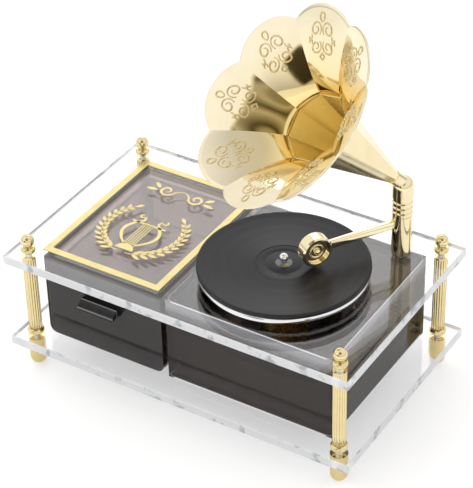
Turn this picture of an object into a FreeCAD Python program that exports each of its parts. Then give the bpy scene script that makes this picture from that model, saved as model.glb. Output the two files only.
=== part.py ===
import FreeCAD, Part
import math
import os

from FreeCAD import Placement, Rotation, Vector

# Wind-up music box in the form of a small gramophone on a clear two-tier stand.
# Millimetres, +Z up, origin on the table under the middle of the stand.
# X runs along the long side, -Y is the side with the drawer front.

# Stand: two clear plates on four corner columns
PLATE_LENGTH = 190.0
PLATE_DEPTH = 117.0
PLATE_THICKNESS = 5.0
PLATE_CHAMFER = 0.5
CORNER_INSET = 9.0
COLUMN_LENGTH = 44.0
COLUMN_DIAMETER = 6.6
COLUMN_RING_DIAMETER = 8.6
COLUMN_RING_HEIGHT = 3.2
COLUMN_COLLAR_HEIGHT = 1.0
FLUTE_COUNT = 18
FLUTE_DEPTH = 0.35
FOOT_DIAMETER = 8.6
FOOT_HEIGHT = 13.5
FOOT_FLAT_DIAMETER = 3.6
FINIAL_RING_DIAMETER = 7.4
FINIAL_RING_HEIGHT = 3.0
FINIAL_NECK_DIAMETER = 4.4
FINIAL_BALL_DIAMETER = 6.8
FINIAL_NECK_HEIGHT = 0.7
ROD_DIAMETER = 3.0
ROD_FOOT_GRIP = 6.0
ROD_FINIAL_GRIP = 4.0

# Fits and gaps
FIT_CLEARANCE = 0.05
HOLE_CLEARANCE = 0.2
RUNNING_CLEARANCE = 0.05
MOVING_GAP = 0.4

# The two dark boxes between the plates
CASE_SIDE_MARGIN = 15.0
CASE_FRONT_MARGIN = 13.0
CASE_GAP = 3.0
DRAWER_CASE_WIDTH = 67.0
CASE_WALL = 2.5
CASE_CORNER_RADIUS = 4.0

# Drawer
DRAWER_FRONT_THICKNESS = 3.0
TRAY_WALL = 1.8
TRAY_HEIGHT = 34.0
HANDLE_LENGTH = 20.5
HANDLE_HEIGHT = 4.8
HANDLE_PROJECTION = 7.5
HANDLE_RISE = 6.8
HANDLE_RIDGE = 3.2
HANDLE_LIP = 1.8
HANDLE_HOLLOW = 1.0
HANDLE_ROUNDING = 0.5
HANDLE_SCREW_DIAMETER = 2.0
HANDLE_SCREW_SPACING = 12.0
HANDLE_SCREW_DEPTH = 2.6
HANDLE_SCREW_HEAD = 3.8
HANDLE_SCREW_HEAD_HEIGHT = 1.2

# Gilt border on the upper plate over the drawer
FRAME_LENGTH = 66.8
FRAME_DEPTH = 89.4
FRAME_BAND = 3.5
FRAME_THICKNESS = 0.4
FRAME_SHIFT_X = -0.9

# Turntable, placed from the middle of the movement case
SPINDLE_SHIFT_X = -4.5
SPINDLE_SHIFT_Y = -4.5
SPINDLE_DIAMETER = 4.0
PLATTER_DIAMETER = 82.2
PLATTER_LIFT = 2.4
PLATTER_THICKNESS = 3.2
PLATTER_RIM_WIDTH = 2.6
PLATTER_RECESS = 0.6
PLATTER_HUB_DIAMETER = 16.0
RECORD_DIAMETER = 82.8
RECORD_THICKNESS = 2.4
RECORD_EDGE = 0.6
RECORD_LABEL_DIAMETER = 27.0
RECORD_LABEL_STEP = 0.25
CAP_FLANGE_DIAMETER = 8.0
CAP_FLANGE_HEIGHT = 1.0
CAP_NECK_DIAMETER = 3.4
CAP_NECK_HEIGHT = 0.2
CAP_BALL_DIAMETER = 4.6
CAP_GRIP = 0.8
BUSH_WALL = 1.5
BUSH_FLANGE_DIAMETER = 11.0
BUSH_FLANGE_HEIGHT = 0.9

# Post of the horn, placed from the spindle
POST_FROM_SPINDLE_X = 38.8
POST_FROM_SPINDLE_Y = 44.4
POST_CORE_DIAMETER = 6.0
POST_DIAMETER = 9.8
POST_SLEEVE_HEIGHT = 22.6
COLLAR_HEIGHT = 10.0
COLLAR_GROOVE_COUNT = 3
COLLAR_GROOVE_WIDTH = 1.2
COLLAR_GROOVE_DEPTH = 0.5
COLLAR_GROOVE_PITCH = 2.8
ELBOW_DIAMETER = 10.4
ELBOW_SKIRT_HEIGHT = 5.6
POST_STUD_DIAMETER = 3.0
POST_NUT_ACROSS_FLATS = 5.5
POST_NUT_HEIGHT = 2.4
POST_NUT_ROOM = 0.8

# Horn: an eight-sided tapered neck and an eight-petalled bell
HORN_AZIMUTH = 238.4
HORN_ELEVATION = 44.2
HORN_HEIGHT = 39.6
HORN_SIDES = 8
HORN_SHEET = 0.8
NECK_START = 8.0
NECK_LENGTH = 56.0
NECK_SMALL_RADIUS = 3.5
NECK_LARGE_RADIUS = 17.5
NECK_SPIGOT_LENGTH = 5.0
BELL_LENGTH = 21.4
BELL_JOINT_RADIUS = 45.6
BELL_STRAIGHT_SHARE = 0.55
PETAL_REACH = 8.4
PETAL_HOLLOW = 0.5
BELL_SECTIONS = 6

# Tone arm and sound box, in line with the horn
ARM_HEIGHT = 17.8
ARM_BAR_HEIGHT = 4.2
ARM_BAR_WIDTH = 2.4
ARM_REACH = 47.0
ARM_SOCKET_DEPTH = 1.3
SOUND_BOX_DIAMETER = 15.6
SOUND_BOX_THICKNESS = 7.0
SOUND_BOX_BEZEL = 1.6
SOUND_BOX_RECESS = 2.4
DIAPHRAGM_THICKNESS = 0.8
DIAPHRAGM_RING_DIAMETER = 7.6
DIAPHRAGM_RING_WIDTH = 0.9
DIAPHRAGM_KNOB_DIAMETER = 3.4
CHUCK_DIAMETER = 2.4
CHUCK_SOCKET_DEPTH = 1.4
NEEDLE_DIAMETER = 0.8
NEEDLE_GAP = 0.35

# Winding key under the base
KEY_SPAN = 26.0
KEY_WING_HEIGHT = 8.0
KEY_WING_THICKNESS = 1.8
KEY_HUB_DIAMETER = 7.0
KEY_FLOOR_GAP = 2.2
KEY_PLATE_GAP = 0.7
KEY_EYE_DIAMETER = 4.0
ARBOR_DIAMETER = 4.0
ARBOR_KEY_DEPTH = 5.0
ARBOR_PASSAGE = 1.0

# Movement: bedplate, spring barrel, pinned cylinder, comb and governor
FLOOR_THICKNESS = 2.5
BEDPLATE_THICKNESS = 3.0
BEDPLATE_FRONT = 15.0
BEDPLATE_REAR = 38.5
BEDPLATE_LEFT = 26.0
BEDPLATE_RIGHT = 25.0
BED_SCREW_DIAMETER = 2.4
BED_SCREW_HEAD = 4.4
BED_SCREW_HEAD_HEIGHT = 1.4
BED_SCREW_INSET = 3.2
BARREL_LIFT = 0.6
BARREL_HEIGHT = 12.0
BARREL_WALL = 1.2
BARREL_BOSS_DIAMETER = 8.0
BARREL_BOSS_HEIGHT = 4.0
BARREL_LID = 1.2
MAINSPRING_TURNS = 5
MAINSPRING_STRIP = 0.4
MAINSPRING_EDGE_GAP = 0.6
ARBOR_HUB_DIAMETER = 5.6

CROWN_MODULE = 0.6
CROWN_TEETH = 36
PINION_TEETH = 12
CROWN_FACE = 1.8
CROWN_MARGIN = 0.2
GEAR_MODULE = 0.5
GEAR_TEETH = 40
GOVERNOR_PINION_TEETH = 10
GEAR_FACE = 1.2
WORM_MODULE = 0.4
WORM_WHEEL_TEETH = 20
WORM_WHEEL_FACE = 1.0
MESH_SLACK = 0.06
ADDENDUM = 0.85
DEDENDUM = 1.15
TOOTH_SHARE_ROOT = 0.50
TOOTH_SHARE_TIP = 0.24

CYLINDER_DIAMETER = 13.0
CYLINDER_LENGTH = 17.0
CYLINDER_START = 14.6
CYLINDER_WALL = 1.0
CYLINDER_ARBOR_DIAMETER = 2.4
PIN_HEIGHT = 0.4
PIN_WIDTH = 0.36
PINS_PER_TRACK = 3
BRACKET_THICKNESS = 1.2
BRACKET_WIDTH = 6.0
BRACKET_GAP = 0.3

COMB_TEETH = 18
COMB_SLOT = 0.3
COMB_THICKNESS = 0.9
COMB_TOOTH_LENGTH = 11.0
COMB_HEEL_LENGTH = 6.0
COMB_TIP_GAP = 0.2
COMB_SCREW_DIAMETER = 2.0
COMB_SCREW_HEAD = 3.8
COMB_SCREW_HEAD_HEIGHT = 1.2
COMB_SCREW_DEPTH = 4.0
COMB_SCREW_SPACING = 10.0

GOVERNOR_ANGLE = -30.0
GOVERNOR_SHAFT_DIAMETER = 1.4
GOVERNOR_CHEEK = 1.2
WORM_WHEEL_PLACE = 25.0
WORM_RADIUS = 1.2
WORM_THROW = 0.4
WORM_TURNS = 4
FAN_SHAFT_DIAMETER = 1.2
FAN_RADIUS = 4.6
FAN_BLADE_HEIGHT = 4.0
FAN_BLADE_THICKNESS = 0.4
FAN_HUB_DIAMETER = 2.6

# Levels of the stand
BASE_BOTTOM = FOOT_HEIGHT
BASE_TOP = BASE_BOTTOM + PLATE_THICKNESS
UPPER_BOTTOM = BASE_TOP + COLUMN_LENGTH
UPPER_TOP = UPPER_BOTTOM + PLATE_THICKNESS

# Footprints of the boxes
CASE_LEFT = -PLATE_LENGTH / 2 + CASE_SIDE_MARGIN
CASE_RIGHT = PLATE_LENGTH / 2 - CASE_SIDE_MARGIN
CASE_FRONT = -PLATE_DEPTH / 2 + CASE_FRONT_MARGIN
CASE_REAR = PLATE_DEPTH / 2 - CASE_FRONT_MARGIN
DRAWER_CASE_RIGHT = CASE_LEFT + DRAWER_CASE_WIDTH
MOVEMENT_CASE_LEFT = DRAWER_CASE_RIGHT + CASE_GAP
SPINDLE_X = (MOVEMENT_CASE_LEFT + CASE_RIGHT) / 2 + SPINDLE_SHIFT_X
SPINDLE_Y = (CASE_FRONT + CASE_REAR) / 2 + SPINDLE_SHIFT_Y
POST_X = SPINDLE_X + POST_FROM_SPINDLE_X
POST_Y = SPINDLE_Y + POST_FROM_SPINDLE_Y

# Levels of the turntable
PLATTER_BOTTOM = UPPER_TOP + PLATTER_LIFT
PLATTER_TOP = PLATTER_BOTTOM + PLATTER_THICKNESS
RECORD_BOTTOM = PLATTER_TOP - PLATTER_RECESS
RECORD_TOP = PLATTER_TOP + RECORD_THICKNESS

# Levels of the movement
FLOOR_TOP = BASE_TOP + FLOOR_THICKNESS
BEDPLATE_TOP = FLOOR_TOP + BEDPLATE_THICKNESS
BARREL_BOTTOM = BEDPLATE_TOP + BARREL_LIFT
BARREL_TOP = BARREL_BOTTOM + BARREL_HEIGHT
CROWN_PITCH_RADIUS = CROWN_MODULE * CROWN_TEETH / 2
CROWN_OUTER_RADIUS = CROWN_PITCH_RADIUS + CROWN_FACE / 2
CROWN_INNER_RADIUS = CROWN_PITCH_RADIUS - CROWN_FACE / 2
BARREL_RADIUS = CROWN_OUTER_RADIUS + CROWN_MARGIN
CROWN_PITCH_LEVEL = BARREL_TOP + DEDENDUM * CROWN_MODULE
PINION_RADIUS = CROWN_MODULE * PINION_TEETH / 2
CYLINDER_Z = CROWN_PITCH_LEVEL + PINION_RADIUS + MESH_SLACK
CYLINDER_END = CYLINDER_START + CYLINDER_LENGTH
GEAR_PLACE = CYLINDER_END + BRACKET_GAP
GEAR_RADIUS = GEAR_MODULE * GEAR_TEETH / 2
GOVERNOR_PINION_RADIUS = GEAR_MODULE * GOVERNOR_PINION_TEETH / 2
GOVERNOR_DISTANCE = GEAR_RADIUS + GOVERNOR_PINION_RADIUS + MESH_SLACK
GOVERNOR_X = SPINDLE_X + GOVERNOR_DISTANCE * math.cos(math.radians(GOVERNOR_ANGLE))
GOVERNOR_Z = CYLINDER_Z + GOVERNOR_DISTANCE * math.sin(math.radians(GOVERNOR_ANGLE))
WORM_WHEEL_RADIUS = WORM_MODULE * WORM_WHEEL_TEETH / 2
WORM_PITCH = math.pi * WORM_MODULE
WORM_X = GOVERNOR_X + WORM_WHEEL_RADIUS + WORM_RADIUS + MESH_SLACK
WORM_Y = SPINDLE_Y + WORM_WHEEL_PLACE + WORM_WHEEL_FACE / 2
WORM_HALF = WORM_PITCH * WORM_TURNS / 2

# Horn axis and the two directions across it
HORN_ORIGIN = Vector(POST_X, POST_Y, UPPER_TOP + HORN_HEIGHT)
_azimuth = math.radians(HORN_AZIMUTH)
_elevation = math.radians(HORN_ELEVATION)
ARM_DIRECTION = Vector(math.cos(_azimuth), math.sin(_azimuth), 0)
HORN_AXIS = Vector(
    math.cos(_azimuth) * math.cos(_elevation),
    math.sin(_azimuth) * math.cos(_elevation),
    math.sin(_elevation),
)
HORN_SIDE = HORN_AXIS.cross(Vector(0, 0, 1)).normalize()
HORN_UP = HORN_SIDE.cross(HORN_AXIS)

CORNERS = {
    "front_left": (-1, -1),
    "front_right": (1, -1),
    "rear_right": (1, 1),
    "rear_left": (-1, 1),
}


def cylinder(diameter, bottom, top, x=0.0, y=0.0):
    """An upright round solid between two levels."""
    return Part.makeCylinder(diameter / 2, top - bottom, Vector(x, y, bottom))


def ring(outer, inner, bottom, top, x=0.0, y=0.0):
    """An upright tube between two levels, from two diameters."""
    return cylinder(outer, bottom, top, x, y).cut(cylinder(inner, bottom, top, x, y))


def box(x0, x1, y0, y1, z0, z1):
    """A block between two corners."""
    return Part.makeBox(x1 - x0, y1 - y0, z1 - z0, Vector(x0, y0, z0))


def revolve(points, x=0.0, y=0.0):
    """A turned solid from a closed outline of (radius, level) points and arcs through a middle point."""
    edges = []
    for start, end in zip(points, points[1:] + points[:1]):
        first = Vector(start[0], 0, start[1])
        last = Vector(end[0], 0, end[1])
        if len(end) == 4:
            edges.append(Part.Arc(first, Vector(end[2], 0, end[3]), last).toShape())
        else:
            edges.append(Part.LineSegment(first, last).toShape())
    solid = Part.Face(Part.Wire(edges)).revolve(Vector(0, 0, 0), Vector(0, 0, 1), 360)
    solid.translate(Vector(x, y, 0))
    return solid


def along_y(shape, x, y, z):
    """Lay a solid built upright about Z so that its axis runs to +Y from the given point."""
    laid = shape.copy()
    laid.Placement = Placement(Vector(x, y, z), Rotation(Vector(1, 0, 0), -90)).multiply(laid.Placement)
    return laid


def column_places():
    """Name and centre of each corner column."""
    for name, (side, end) in CORNERS.items():
        x = side * (PLATE_LENGTH / 2 - CORNER_INSET)
        y = end * (PLATE_DEPTH / 2 - CORNER_INSET)
        yield name, x, y


def plate(bottom):
    """A clear plate with polished arrises and the four rod holes."""
    half_length = PLATE_LENGTH / 2
    half_depth = PLATE_DEPTH / 2
    solid = box(-half_length, half_length, -half_depth, half_depth, bottom, bottom + PLATE_THICKNESS)
    solid = solid.makeChamfer(PLATE_CHAMFER, solid.Edges)
    for _, x, y in column_places():
        hole = cylinder(ROD_DIAMETER + 2 * HOLE_CLEARANCE, bottom, bottom + PLATE_THICKNESS, x, y)
        solid = solid.cut(hole)
    return solid


def base_plate():
    """The lower plate, with the passage of the winding arbor."""
    passage = cylinder(ARBOR_DIAMETER + 2 * ARBOR_PASSAGE, BASE_BOTTOM, BASE_TOP, SPINDLE_X, SPINDLE_Y)
    return plate(BASE_BOTTOM).cut(passage)


def upper_plate():
    """The upper plate, with the holes of the spindle bush and the post."""
    bush = SPINDLE_DIAMETER + 2 * (RUNNING_CLEARANCE + BUSH_WALL + FIT_CLEARANCE)
    stud = POST_STUD_DIAMETER + 2 * HOLE_CLEARANCE
    solid = plate(UPPER_BOTTOM)
    solid = solid.cut(cylinder(bush, UPPER_BOTTOM, UPPER_TOP, SPINDLE_X, SPINDLE_Y))
    return solid.cut(cylinder(stud, UPPER_BOTTOM, UPPER_TOP, POST_X, POST_Y))


def fluted_bar(bottom, top):
    """A bar whose outline is a ring of hollow flutes between narrow ridges."""
    outer = COLUMN_DIAMETER / 2
    inner = outer - FLUTE_DEPTH
    step = 2 * math.pi / FLUTE_COUNT
    edges = []
    for flute in range(FLUTE_COUNT):
        points = []
        for share, radius in ((0, outer), (0.5, inner), (1, outer)):
            angle = step * (flute + share)
            points.append(Vector(radius * math.cos(angle), radius * math.sin(angle), bottom))
        edges.append(Part.Arc(*points).toShape())
    return Part.Face(Part.Wire(edges)).extrude(Vector(0, 0, top - bottom))


def column(x, y):
    """A fluted column on a rounded base ring, with a plain collar at the top, bored for the tie rod."""
    ring_top = BASE_TOP + COLUMN_RING_HEIGHT
    ring_middle = BASE_TOP + COLUMN_RING_HEIGHT / 2
    ring_radius = COLUMN_RING_DIAMETER / 2
    shoulder = ring_radius - COLUMN_RING_HEIGHT / 4
    collar_bottom = UPPER_BOTTOM - COLUMN_COLLAR_HEIGHT
    base_ring = revolve([
        (0, BASE_TOP),
        (shoulder, BASE_TOP),
        (shoulder, ring_top, ring_radius, ring_middle),
        (0, ring_top),
    ])
    collar = cylinder(COLUMN_DIAMETER, collar_bottom, UPPER_BOTTOM)
    solid = fluted_bar(ring_top, collar_bottom).fuse([base_ring, collar])
    solid = solid.cut(cylinder(ROD_DIAMETER + 2 * FIT_CLEARANCE, BASE_TOP, UPPER_BOTTOM))
    solid.translate(Vector(x, y, 0))
    return solid


def finial(x, y):
    """A turned cap with a ring, a short neck and a ball, with a blind hole for the rod."""
    ring_radius = FINIAL_RING_DIAMETER / 2
    ring_top = UPPER_TOP + FINIAL_RING_HEIGHT
    ring_middle = UPPER_TOP + FINIAL_RING_HEIGHT / 2
    bulge = FINIAL_RING_HEIGHT / 4
    ball_radius = FINIAL_BALL_DIAMETER / 2
    neck = FINIAL_NECK_DIAMETER / 2
    neck_top = ring_top + FINIAL_NECK_HEIGHT
    ball_level = neck_top + math.sqrt(ball_radius ** 2 - neck ** 2)
    solid = revolve([
        (0, UPPER_TOP),
        (ring_radius - bulge, UPPER_TOP),
        (ring_radius - bulge, ring_top, ring_radius, ring_middle),
        (neck, ring_top),
        (neck, neck_top),
        (0, ball_level + ball_radius, ball_radius, ball_level),
    ], x, y)
    bore = ROD_DIAMETER + 2 * FIT_CLEARANCE
    return solid.cut(cylinder(bore, UPPER_TOP, UPPER_TOP + ROD_FINIAL_GRIP + HOLE_CLEARANCE, x, y))


def foot(x, y):
    """A domed foot, like a cap nut, with a small flat to stand on and a blind hole for the rod."""
    radius = FOOT_DIAMETER / 2
    flat = FOOT_FLAT_DIAMETER / 2
    shoulder = math.sqrt(radius ** 2 - flat ** 2)
    half_angle = math.asin(flat / radius) / 2 + math.pi / 4
    solid = revolve([
        (0, 0),
        (flat, 0),
        (radius, shoulder, radius * math.sin(half_angle), shoulder - radius * math.cos(half_angle)),
        (radius, FOOT_HEIGHT),
        (0, FOOT_HEIGHT),
    ], x, y)
    bore = ROD_DIAMETER + 2 * FIT_CLEARANCE
    return solid.cut(cylinder(bore, FOOT_HEIGHT - ROD_FOOT_GRIP - HOLE_CLEARANCE, FOOT_HEIGHT, x, y))


def tie_rods():
    """The four rods that hold foot, plates, column and finial together at each corner."""
    low = FOOT_HEIGHT - ROD_FOOT_GRIP
    high = UPPER_TOP + ROD_FINIAL_GRIP
    return Part.makeCompound([cylinder(ROD_DIAMETER, low, high, x, y) for _, x, y in column_places()])


def rounded_block(x0, x1, y0, y1, z0, z1):
    """A block whose two lower long edges are rounded."""
    solid = box(x0, x1, y0, y1, z0, z1)
    middle = (z0 + z1) / 2
    low_edges = []
    for edge in solid.Edges:
        across = edge.BoundBox
        if across.YLength > (y1 - y0) / 2 and across.ZMax < middle:
            low_edges.append(edge)
    return solid.makeFillet(CASE_CORNER_RADIUS, low_edges)


def drawer_case():
    """The open-fronted box that the drawer slides in."""
    front = CASE_FRONT + DRAWER_FRONT_THICKNESS + MOVING_GAP
    outer = rounded_block(CASE_LEFT, DRAWER_CASE_RIGHT, front, CASE_REAR, BASE_TOP, UPPER_BOTTOM)
    room = box(
        CASE_LEFT + CASE_WALL, DRAWER_CASE_RIGHT - CASE_WALL,
        front, CASE_REAR - CASE_WALL,
        BASE_TOP + CASE_WALL, UPPER_BOTTOM - CASE_WALL,
    )
    return outer.cut(room)


def handle_screw_places():
    """Middle of each handle screw across the drawer, and their level."""
    middle = (CASE_LEFT + DRAWER_CASE_RIGHT) / 2
    level = (BASE_TOP + UPPER_BOTTOM) / 2 + HANDLE_RISE
    for side in (-1, 1):
        yield middle + side * HANDLE_SCREW_SPACING / 2, level


def handle_holes(diameter, front, rear):
    """Bores along Y at the handle screws."""
    bores = []
    for x, level in handle_screw_places():
        bores.append(Part.makeCylinder(diameter / 2, rear - front, Vector(x, front, level), Vector(0, 1, 0)))
    return Part.makeCompound(bores)


def drawer_front():
    """The front panel, which covers the whole end of the drawer box."""
    rear = CASE_FRONT + DRAWER_FRONT_THICKNESS
    low = BASE_TOP + MOVING_GAP
    high = UPPER_BOTTOM - MOVING_GAP
    solid = rounded_block(CASE_LEFT, DRAWER_CASE_RIGHT, CASE_FRONT, rear, low, high)
    return solid.cut(handle_holes(HANDLE_SCREW_DIAMETER + 2 * HOLE_CLEARANCE, CASE_FRONT, rear))


def drawer_tray():
    """The open tray behind the drawer front."""
    front = CASE_FRONT + DRAWER_FRONT_THICKNESS
    rear = CASE_REAR - CASE_WALL - MOVING_GAP
    left = CASE_LEFT + CASE_WALL + MOVING_GAP
    right = DRAWER_CASE_RIGHT - CASE_WALL - MOVING_GAP
    low = BASE_TOP + CASE_WALL + MOVING_GAP
    solid = box(left, right, front, rear, low, low + TRAY_HEIGHT)
    room = box(
        left + TRAY_WALL, right - TRAY_WALL,
        front + TRAY_WALL, rear - TRAY_WALL,
        low + TRAY_WALL, low + TRAY_HEIGHT,
    )
    solid = solid.cut(room)
    return solid.cut(handle_holes(HANDLE_SCREW_DIAMETER + 2 * HOLE_CLEARANCE, front, front + TRAY_WALL))


def drawer_handle():
    """A finger pull: a root on the drawer front that runs out into a drooping lip, hollowed below."""
    left = (CASE_LEFT + DRAWER_CASE_RIGHT - HANDLE_LENGTH) / 2
    level = (BASE_TOP + UPPER_BOTTOM) / 2 + HANDLE_RISE
    top = level + HANDLE_HEIGHT / 2
    bottom = level - HANDLE_HEIGHT / 2
    lip_y = CASE_FRONT - HANDLE_PROJECTION
    corners = [
        Vector(left, CASE_FRONT, bottom),
        Vector(left, CASE_FRONT, top),
        Vector(left, CASE_FRONT - HANDLE_RIDGE, top),
        Vector(left, lip_y, bottom + HANDLE_LIP),
        Vector(left, lip_y, bottom),
    ]
    edges = [Part.LineSegment(start, end).toShape() for start, end in zip(corners, corners[1:])]
    hollow = Vector(left, (CASE_FRONT + lip_y) / 2, bottom + HANDLE_HOLLOW)
    edges.append(Part.Arc(corners[-1], hollow, corners[0]).toShape())
    solid = Part.Face(Part.Wire(edges)).extrude(Vector(HANDLE_LENGTH, 0, 0))
    lip_edges = []
    for edge in solid.Edges:
        if edge.BoundBox.XLength > HANDLE_LENGTH / 2 and edge.BoundBox.YMax < CASE_FRONT - HANDLE_RIDGE / 2:
            lip_edges.append(edge)
    solid = solid.makeFillet(HANDLE_ROUNDING, lip_edges)
    bore = HANDLE_SCREW_DIAMETER + 2 * FIT_CLEARANCE
    return solid.cut(handle_holes(bore, CASE_FRONT - HANDLE_SCREW_DEPTH - HOLE_CLEARANCE, CASE_FRONT))


def handle_screws():
    """Two screws from inside the tray into the handle."""
    seat = CASE_FRONT + DRAWER_FRONT_THICKNESS + TRAY_WALL
    screws = []
    for x, level in handle_screw_places():
        start = Vector(x, CASE_FRONT - HANDLE_SCREW_DEPTH, level)
        shank = Part.makeCylinder(HANDLE_SCREW_DIAMETER / 2, seat - start.y, start, Vector(0, 1, 0))
        head_start = Vector(x, seat, level)
        head = Part.makeCylinder(HANDLE_SCREW_HEAD / 2, HANDLE_SCREW_HEAD_HEIGHT, head_start, Vector(0, 1, 0))
        screws.append(shank.fuse(head))
    return Part.makeCompound(screws)


def movement_case():
    """The closed box over the movement, open below, with holes for the bush and the post nut."""
    solid = box(MOVEMENT_CASE_LEFT, CASE_RIGHT, CASE_FRONT, CASE_REAR, BASE_TOP, UPPER_BOTTOM)
    room = box(
        MOVEMENT_CASE_LEFT + CASE_WALL, CASE_RIGHT - CASE_WALL,
        CASE_FRONT + CASE_WALL, CASE_REAR - CASE_WALL,
        BASE_TOP, UPPER_BOTTOM - CASE_WALL,
    )
    solid = solid.cut(room)
    bush = SPINDLE_DIAMETER + 2 * (RUNNING_CLEARANCE + BUSH_WALL + FIT_CLEARANCE)
    roof = UPPER_BOTTOM - CASE_WALL
    solid = solid.cut(cylinder(bush, roof, UPPER_BOTTOM, SPINDLE_X, SPINDLE_Y))
    nut_room = POST_NUT_ACROSS_FLATS / math.cos(math.pi / 6) + 2 * POST_NUT_ROOM
    nut_bottom = UPPER_BOTTOM - POST_NUT_HEIGHT - POST_NUT_ROOM
    return solid.cut(cylinder(nut_room, nut_bottom, UPPER_BOTTOM, POST_X, POST_Y))


def movement_floor():
    """The floor panel inside the movement case, which carries the bedplate."""
    solid = box(
        MOVEMENT_CASE_LEFT + CASE_WALL + HOLE_CLEARANCE, CASE_RIGHT - CASE_WALL - HOLE_CLEARANCE,
        CASE_FRONT + CASE_WALL + HOLE_CLEARANCE, CASE_REAR - CASE_WALL - HOLE_CLEARANCE,
        BASE_TOP, FLOOR_TOP,
    )
    passage = ARBOR_DIAMETER + 2 * ARBOR_PASSAGE
    solid = solid.cut(cylinder(passage, BASE_TOP, FLOOR_TOP, SPINDLE_X, SPINDLE_Y))
    for x, y in bed_screw_places():
        solid = solid.cut(cylinder(BED_SCREW_DIAMETER + 2 * FIT_CLEARANCE, BASE_TOP, FLOOR_TOP, x, y))
    return solid


def gilt_frame():
    """A thin gilt border laid on the upper plate over the drawer."""
    middle_x = (CASE_LEFT + DRAWER_CASE_RIGHT) / 2 + FRAME_SHIFT_X
    middle_y = (CASE_FRONT + CASE_REAR) / 2
    layers = []
    for inset in (0, FRAME_BAND):
        half_x = FRAME_LENGTH / 2 - inset
        half_y = FRAME_DEPTH / 2 - inset
        layers.append(box(
            middle_x - half_x, middle_x + half_x,
            middle_y - half_y, middle_y + half_y,
            UPPER_TOP, UPPER_TOP + FRAME_THICKNESS,
        ))
    return layers[0].cut(layers[1])


def spindle_bush():
    """The flanged bush that carries the spindle through the upper plate."""
    inner = SPINDLE_DIAMETER + 2 * RUNNING_CLEARANCE
    outer = inner + 2 * BUSH_WALL
    solid = ring(outer, inner, UPPER_BOTTOM - CASE_WALL, UPPER_TOP, SPINDLE_X, SPINDLE_Y)
    flange = ring(BUSH_FLANGE_DIAMETER, inner, UPPER_TOP, UPPER_TOP + BUSH_FLANGE_HEIGHT, SPINDLE_X, SPINDLE_Y)
    return solid.fuse(flange)


def turntable_platter():
    """A dished platter with a raised rim and a hub below."""
    outer = PLATTER_DIAMETER / 2
    inner = outer - PLATTER_RIM_WIDTH
    hub = PLATTER_HUB_DIAMETER / 2
    hub_bottom = UPPER_TOP + BUSH_FLANGE_HEIGHT + MOVING_GAP
    rim_round = PLATTER_THICKNESS / 2
    bore = SPINDLE_DIAMETER / 2 + FIT_CLEARANCE
    return revolve([
        (bore, hub_bottom),
        (hub, hub_bottom),
        (hub, PLATTER_BOTTOM),
        (outer - rim_round / 2, PLATTER_BOTTOM),
        (outer - rim_round / 2, PLATTER_TOP, outer, PLATTER_BOTTOM + rim_round),
        (inner, PLATTER_TOP),
        (inner, RECORD_BOTTOM),
        (bore, RECORD_BOTTOM),
    ], SPINDLE_X, SPINDLE_Y)


def record_disc():
    """The record, stepped to sit in the platter, with a raised label and softened edge."""
    outer = RECORD_DIAMETER / 2
    seat = PLATTER_DIAMETER / 2 - PLATTER_RIM_WIDTH - HOLE_CLEARANCE
    label = RECORD_LABEL_DIAMETER / 2
    bore = SPINDLE_DIAMETER / 2 + FIT_CLEARANCE
    low = PLATTER_TOP
    return revolve([
        (bore, RECORD_BOTTOM),
        (seat, RECORD_BOTTOM),
        (seat, low),
        (outer - RECORD_EDGE, low),
        (outer, low + RECORD_EDGE),
        (outer, RECORD_TOP - RECORD_EDGE),
        (outer - RECORD_EDGE, RECORD_TOP),
        (label, RECORD_TOP),
        (label - RECORD_LABEL_STEP, RECORD_TOP - RECORD_LABEL_STEP),
        (bore, RECORD_TOP - RECORD_LABEL_STEP),
    ], SPINDLE_X, SPINDLE_Y)


def spindle_shaft():
    """The shaft from the spring barrel up through the record."""
    top = RECORD_TOP - RECORD_LABEL_STEP + CAP_GRIP
    return cylinder(SPINDLE_DIAMETER, BARREL_TOP, top, SPINDLE_X, SPINDLE_Y)


def spindle_cap():
    """The turned cap that holds the record down: a low flange, a neck and a ball."""
    bottom = RECORD_TOP - RECORD_LABEL_STEP
    neck = CAP_NECK_DIAMETER / 2
    flange_top = bottom + CAP_FLANGE_HEIGHT
    neck_top = flange_top + CAP_NECK_HEIGHT
    ball_radius = CAP_BALL_DIAMETER / 2
    ball_level = neck_top + math.sqrt(ball_radius ** 2 - neck ** 2)
    bore = SPINDLE_DIAMETER / 2 + FIT_CLEARANCE
    shaft_top = bottom + CAP_GRIP + FIT_CLEARANCE
    return revolve([
        (bore, bottom),
        (CAP_FLANGE_DIAMETER / 2, bottom),
        (neck, flange_top),
        (neck, neck_top),
        (0, ball_level + ball_radius, ball_radius, ball_level),
        (0, shaft_top),
        (bore, shaft_top),
    ], SPINDLE_X, SPINDLE_Y)


def post_core():
    """The fixed pillar that the arm sleeve turns on, with a stud through the plate."""
    top = UPPER_TOP + POST_SLEEVE_HEIGHT + COLLAR_HEIGHT + ELBOW_SKIRT_HEIGHT
    solid = cylinder(POST_CORE_DIAMETER, UPPER_TOP, top, POST_X, POST_Y)
    stud_bottom = UPPER_BOTTOM - POST_NUT_HEIGHT
    return solid.fuse(cylinder(POST_STUD_DIAMETER, stud_bottom, UPPER_TOP, POST_X, POST_Y))


def post_nut():
    """The hexagon nut under the upper plate."""
    corner = POST_NUT_ACROSS_FLATS / 2 / math.cos(math.pi / 6)
    bottom = UPPER_BOTTOM - POST_NUT_HEIGHT
    points = []
    for side in range(7):
        angle = side * math.pi / 3
        points.append(Vector(POST_X + corner * math.cos(angle), POST_Y + corner * math.sin(angle), bottom))
    solid = Part.Face(Part.makePolygon(points)).extrude(Vector(0, 0, POST_NUT_HEIGHT))
    return solid.cut(cylinder(POST_STUD_DIAMETER + 2 * FIT_CLEARANCE, bottom, UPPER_BOTTOM, POST_X, POST_Y))


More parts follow.
